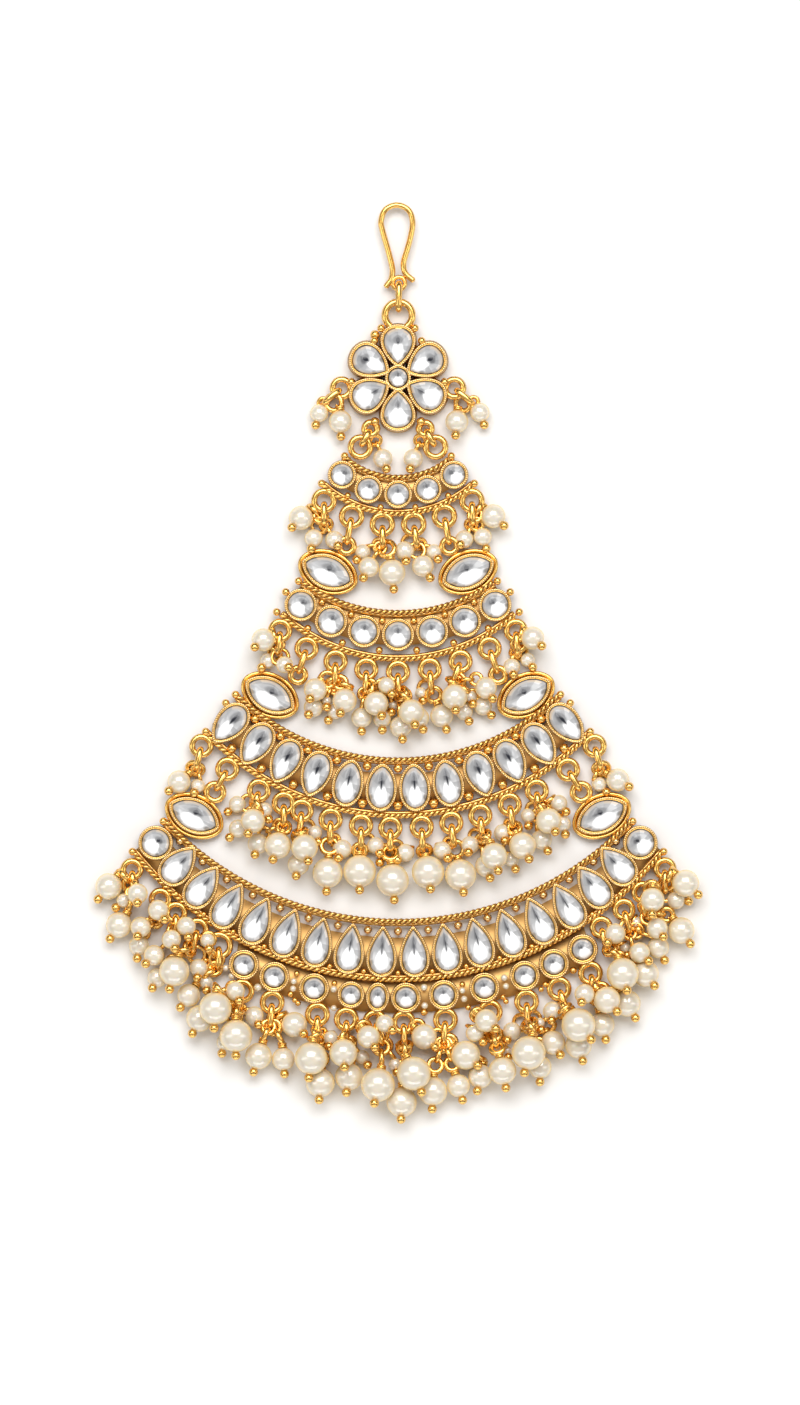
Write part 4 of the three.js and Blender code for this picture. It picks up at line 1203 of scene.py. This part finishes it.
def eye_loops(hangers, necks, large):
    """Chains of one to four loops from the links' ends to the pearls' necks.

    A loop is a circle in the plane of the way to the pearl, or square to it on every other
    loop, and the first one hangs in the link's end.
    """
    span = necks - hangers
    far, way = np.linalg.norm(span, axis=1), unit(span)
    level = unit(np.cross(UP, way))
    cosine, sine = circle(18)
    counts = np.clip(np.ceil((far - 0.5) / LOOP_REACH), 1, MOST_LOOPS).astype(int)
    thickness = gauge("loop") * np.where(large, LARGE_LOOP, 1.0)
    sizes = np.maximum(far / counts / 2 + LOOP_LAP, np.where(large, *LOOP_SIZES))
    skins = []
    for number in range(counts.max()):
        has = counts > number
        ways, size, thick = way[has], sizes[has], thickness[has][:, None]
        reach = (number + 0.5) * far[has] / counts[has] if number else size - LOOP_LAP / 2
        flat = np.cross(ways, level[has]) if number % 2 else level[has]
        turn = sine[:, None] * unit(flat)[:, None] - cosine[:, None] * ways[:, None]
        middle = hangers[has] + ways * reach[:, None]
        eyes = lifted(middle[:, None] + size[:, None, None] * turn, thick)
        skins.append(wire(eyes, thick, axis=np.cross(ways, flat)[:, None], sides=7, ring=True))
    return skins


def wound_coils(middles, ways, radii):
    """Coils above pearls: a small circle carried along each stem as it turns."""
    turns = np.linspace(0, COIL_TURNS * FULL_TURN, 34)
    side = unit(np.cross(ways, UP + 0.01))
    rise = np.cross(ways, side)
    along = radii[:, None] - 0.05 + COIL_LENGTH * turns / turns[-1]
    coil = middles[:, None] + along[..., None] * ways[:, None] + COIL_RADIUS * (
        np.cos(turns)[:, None] * side[:, None] + np.sin(turns)[:, None] * rise[:, None])
    return wire(lifted(coil, COIL_WIRE), COIL_WIRE, axis=ways[:, None], sides=6)


def headpins(drops):
    """Ball ends, eye loops, stems and coils of many drops."""
    pin, ball = gauge("pin"), gauge("ball")
    middles = np.array([drop.middle for drop in drops])
    radii = np.array([drop.radius for drop in drops])
    hangers = np.array([drop.hanger for drop in drops])
    ways = pin_directions(drops)
    large = radii > LARGE_PEARL
    ends = lifted(middles + ways * (radii + BALL_SEAT * ball)[:, None], ball)
    necks = lifted(middles - ways * (radii + np.where(large, *NECKS))[:, None], pin)
    stems = wire(np.stack([necks, middles], 1), pin, sides=6,
                 axis=np.cross(ways, UP + 0.01)[:, None])
    coils = wound_coils(middles[large], -ways[large], radii[large])
    tips = balls(ends, np.full(len(drops), ball), *FINE)
    return [tips, *eye_loops(hangers, necks, large), stems, coils]


# ---------------------------------------------------------------- operators

def smooth_path(points, steps):
    """A curve through points: each span blends four neighbours by cubic weights."""
    padded = np.vstack([2 * points[0] - points[1], points, 2 * points[-1] - points[-2]])
    t = (np.arange(steps) / steps)[:, None, None]
    a, b, c, d = (padded[i:len(padded) - 3 + i] for i in range(4))
    curve = 0.5 * (2 * b + (c - a) * t + (2 * a - 5 * b + 4 * c - d) * t ** 2
                   + (3 * b - a - 3 * c + d) * t ** 3)
    return np.vstack([curve.transpose(1, 0, 2).reshape(-1, 3), points[-1:]])


class PASSA_OT_hair_hook(bpy.types.Operator):
    """Make the hair hook with its eye ring, and the link below it."""

    bl_idname = "passa.hair_hook"
    bl_label = "Hair hook"

    def execute(self, context):
        path = smooth_path(np.array([at_height(spot, WIRE_LEVEL) for spot in HOOK_ROUTE]), 9)
        thick = np.full(len(path), gauge("hook"))
        thick[[0, -1]] *= 0.75
        eye = flat_rings([HOOK_EYE], [HOOK_EYE[2]], HOOK_EYE_WIRE, sides=10)
        hook = [wire(path[None], thick, sides=12), eye]
        add_gold("hair_hook_wire", hook, ["hair_hook"])
        add_gold("hook_link_wire", [upright_link(*HOOK_LINK, count=34)], ["hook_link"])
        return {"FINISHED"}


class PASSA_OT_rosette(bpy.types.Operator):
    """Make the rosette's settings, rings and stones."""

    bl_idname = "passa.rosette"
    bl_label = "Rosette"

    def execute(self, context):
        reach, width, long = PETAL
        metal = bezel("round", ROSETTE_EYE, ROSETTE_EYE, ROSETTE, 0)
        stones = [set_crystal("round", ROSETTE_EYE, ROSETTE_EYE, ROSETTE, 0, EYE_RIM)]
        for out in PETALS:
            away = np.array([np.cos(np.radians(out)), np.sin(np.radians(out))])
            petal = ("petal", width, long, ROSETTE + reach * away, out + 90)
            metal += bezel(*petal, rim=PETAL_RIM, foot=PETAL_FOOT)
            stones.append(set_crystal(*petal, PETAL_RIM))
        outers = [outer for *_, outer in ROSETTE_RINGS]
        metal.append(flat_rings(ROSETTE_RINGS, outers, gauge("ring")))
        metal.append(flat_rings([BAIL], [BAIL[2]], gauge("bail"), count=40, sides=12))
        add_gold("rosette_settings", metal, ["rosette"])
        add_stones("rosette_crystals", stones, nodes_named("petal_stone", "centre_stone"))
        return {"FINISHED"}


def marquise_setting(place, turn):
    """A marquise bezel inside a plain wire frame, on a plate a little lower than both."""
    line = outline("boat", *MARQUISE_FRAME, count=48)
    frame_path = laid(line + MARQUISE_LEVEL * UP, place, turn)[None]
    rows = np.stack([0.98 * line, 0.98 * line + UP])
    # The plate is darkened by painted shade, as it lies deep between bezel and frame.
    plate = skin(laid(rows, place, turn)[None], first=at_height(place),
                 last=at_height(place, 1.0), shade=0.55)
    return [
        *bezel("marquise", *MARQUISE, place, turn, 44),
        wire(frame_path, MARQUISE_WIRE, ring=True), plate]


class PASSA_OT_bars(bpy.types.Operator):
    """Make each bar's ropes, settings, rings and crystals, and the marquise settings."""

    bl_idname = "passa.bars"
    bl_label = "Bars"

    def execute(self, context):
        ring = gauge("ring")
        marquises = []
        for number, bar in enumerate(BARS, 1):
            metal, stones = [], []
            for row in bar.rows:
                for angle in row.angles:
                    place = on_arc(row.centre, row.radius, angle)
                    setting = (row.outline, row.width, row.length, place, angle + row.turn)
                    metal += bezel(*setting, rim=row.rim)
                    stones.append(set_crystal(*setting, row.rim))
            if bar.marquise:
                across, along, turn = bar.marquise
                for side in (-1, 1):
                    spot = (side * across, along), side * turn + 90
                    metal += marquise_setting(*spot)
                    marquises.append(set_crystal("marquise", *MARQUISE, *spot))
            metal.append(web_between(*bar.ropes, *bar.web))
            if number == len(BARS):
                metal.append(web_between(*LOWER_WEB))
            add_gold(f"bar_{number}_settings", metal, [f"bar_{number}"])
            add_stones(f"bar_{number}_crystals", stones)
            ropes = [rope(*arc, dull) for arc, dull in zip(bar.ropes, ROPE_DULLNESS)]
            ropes += [
                plain_arc(centre, radius + shift, half_angle, thickness, height)
                for (centre, radius, half_angle), (shift, thickness, height)
                in zip(bar.ropes, BACKING)]
            add_gold(f"bar_{number}_ropes", ropes)
            places, outers, _ = zip(*fringe_rings(bar))
            across, along, outer = bar.shoulder
            shoulders = [(-across, along), (across, along)]
            rings = [flat_rings(places, outers, ring), flat_rings(shoulders, [outer] * 2, ring)]
            add_gold(f"bar_{number}_rings", rings)
        add_stones("marquise_crystals", marquises, nodes_named("marquise_stone"))
        return {"FINISHED"}


class PASSA_OT_grains(bpy.types.Operator):
    """Make the granules and tiny pearls soldered in the gaps."""

    bl_idname = "passa.grains"
    bl_label = "Grains"

    def execute(self, context):
        spots = []
        for centre, radius, grain, angles in GAP_GRAINS:
            spots += [(*place, grain) for place in on_arc(centre, radius, angles, ARC_LEVEL)]
        for across, along, grain in PAIRED_GRAINS:
            spots += [(side * across, along, PAIRED_LEVEL, grain) for side in (-1, 1)]
        spots += [(across, along, SINGLE_LEVEL, grain) for across, along, grain in SINGLE_GRAINS]
        spots = np.array(spots)
        centre, radius, grain, angles = CUP_GRAINS
        cups = on_arc(centre, radius, angles, CUP_LEVEL)
        metal = [
            balls(spots[:, :3], spots[:, 3], *FINE),
            # The cups under the grains take a little painted shade.
            balls(cups, np.full(len(cups), grain + CUP_WALL), 16, 8, shade=0.3),
            balls(cups + CUP_RISE * UP, np.full(len(cups), grain), *FINE, finish=RIM_GOLD),
        ]
        add_gold("gap_grains", metal)
        tiny = np.array(SINGLE_PEARLS)
        places = tiny * (1, 1, 0) + ARC_LEVEL * UP
        add_pearls("gap_pearls", pearls_of(places, tiny[:, 2], 12, 8))
        return {"FINISHED"}


class PASSA_OT_links(bpy.types.Operator):
    """Make the links between the bars and the links that carry the drops."""

    bl_idname = "passa.links"
    bl_label = "Links"

    def execute(self, context):
        links = []
        upper_rings = ROSETTE_RINGS[2:]
        for bar, length_between in zip(BARS, LINK_LENGTHS):
            across, along, _ = bar.shoulder
            links += [
                upright_link(above, (side * across, along), length_between)
                for above, side in zip(upper_rings, (-1, 1))]
            upper_rings = [place for place, _, lean in fringe_rings(bar) if lean is None]
        add_gold("tier_links", links, nodes_named("tier_link"))
        hung = [((across, along), lean) for across, along, lean, _ in ROSETTE_DROPS]
        hung += [
            (place, lean) for bar in BARS for place, _, lean in fringe_rings(bar)
            if lean is not None]
        drop_links = [
            upright_link(place, below(place, DROP_LINK_LENGTH, lean), DROP_LINK_LENGTH)
            for place, lean in hung]
        add_gold("drop_links", drop_links)
        return {"FINISHED"}


class PASSA_OT_drops(bpy.types.Operator):
    """Make the pearls of each tier and the headpins that hold them."""

    bl_idname = "passa.drops"
    bl_label = "Drops"

    def execute(self, context):
        drops = settled_drops()
        for tier in range(len(BARS) + 1):
            mine = [drop for drop in drops if drop.tier == tier]
            pearls = pearls_of([drop.middle for drop in mine], [drop.radius for drop in mine])
            word = f"tier_{tier}_drops" if tier else "rosette_drops"
            add_pearls(f"{word}_pearls", pearls, nodes_named(word))
            add_gold(f"{word}_headpins", headpins(mine))
        return {"FINISHED"}


# ---------------------------------------------------------------- stage

def lay_floor():
    """A square board just under the jewel."""
    corners = FLOOR_HALF * np.array([(-1, -1, 0), (1, -1, 0), (1, 1, 0), (-1, 1, 0)])
    mesh = bpy.data.meshes.new("floor")
    mesh.from_pydata(corners - FLOOR_DROP * UP, [], [(0, 1, 2, 3)])
    mesh.materials.append(pale_floor("Pale_floor"))
    board = bpy.data.objects.new("floor", mesh)
    bpy.context.scene.collection.objects.link(board)


def set_camera(studio):
    """A camera straight above, so far off that the jewel hardly narrows with height."""
    lens = bpy.data.cameras.new("camera")
    lens.sensor_width = SENSOR
    lens.lens = SENSOR * studio.camera_height / studio.view_height
    camera = bpy.data.objects.new("camera", lens)
    aim = (VIEW_MIDDLE - MIDDLE) * MILLIMETRE
    camera.location = at_height(aim, studio.camera_height)
    bpy.context.scene.collection.objects.link(camera)
    bpy.context.scene.camera = camera


def add_light(name, place, size, power):
    """A soft rectangular light aimed at the jewel."""
    lamp = bpy.data.lights.new(name, "AREA")
    lamp.shape = "RECTANGLE"
    lamp.size, lamp.size_y = size
    lamp.energy = power
    holder = bpy.data.objects.new(name, lamp)
    holder.location = place
    holder.rotation_euler = (-Vector(place)).to_track_quat("-Z", "Y").to_euler()
    bpy.context.scene.collection.objects.link(holder)


def light_room(studio):
    """A warm white room: bright all round, with a dark spot overhead where a camera stands."""
    world = bpy.data.worlds.new("room")
    world.use_nodes = True
    nodes, links = world.node_tree.nodes, world.node_tree.links
    way = nodes.new("ShaderNodeTexCoord").outputs["Generated"]
    split = nodes.new("ShaderNodeSeparateXYZ")
    ramp = nodes.new("ShaderNodeValToRGB")
    links.new(way, split.inputs[0])
    links.new(split.outputs[2], ramp.inputs[0])
    set_stops(ramp.color_ramp.elements, [
        (position, opaque(value * share for share in ROOM_TINT))
        for position, value in ROOM_STOPS])
    background = nodes["Background"]
    links.new(ramp.outputs[0], background.inputs[0])
    background.inputs[1].default_value = studio.dome
    bpy.context.scene.world = world


class PASSA_OT_stage(bpy.types.Operator):
    """Set the pale floor, the soft lights and the camera."""

    bl_idname = "passa.stage"
    bl_label = "Stage"

    def execute(self, context):
        studio = context.scene.passa_studio
        context.scene.view_settings.view_transform = "Standard"
        lay_floor()
        set_camera(studio)
        for name, place, size, power in LIGHTS:
            add_light(name, place, size, getattr(studio, power))
        light_room(studio)
        return {"FINISHED"}


class PASSA_PT_panel(bpy.types.Panel):
    """The headpiece's sizes, finishes and makers."""

    bl_idname = "PASSA_PT_panel"
    bl_label = "Passa headpiece"
    bl_space_type = "VIEW_3D"
    bl_region_type = "UI"
    bl_category = "Passa"

    def draw(self, context):
        for group in (getattr(context.scene, name) for name in GROUPS):
            column = self.layout.column(align=True)
            for name in group.bl_rna.properties.keys():
                if name not in ("rna_type", "name"):
                    column.prop(group, name)
        for maker in MAKERS:
            self.layout.operator(maker.bl_idname)


MAKERS = (
    PASSA_OT_hair_hook, PASSA_OT_rosette, PASSA_OT_bars, PASSA_OT_grains, PASSA_OT_links,
    PASSA_OT_drops, PASSA_OT_stage,
)
GROUPS = {
    "passa_wires": PassaWires, "passa_finishes": PassaFinishes, "passa_studio": PassaStudio,
}


def register():
    for each in (*GROUPS.values(), *MAKERS, PASSA_PT_panel):
        bpy.utils.register_class(each)
    for name, group in GROUPS.items():
        setattr(bpy.types.Scene, name, bpy.props.PointerProperty(type=group))


def unregister():
    for name in GROUPS:
        delattr(bpy.types.Scene, name)
    for each in (PASSA_PT_panel, *reversed(MAKERS), *reversed(list(GROUPS.values()))):
        bpy.utils.unregister_class(each)


def main():
    """Makes every piece and the stage."""
    register()
    for maker in MAKERS:
        section, name = maker.bl_idname.split(".")
        getattr(getattr(bpy.ops, section), name)()


if __name__ == "__main__":
    main()
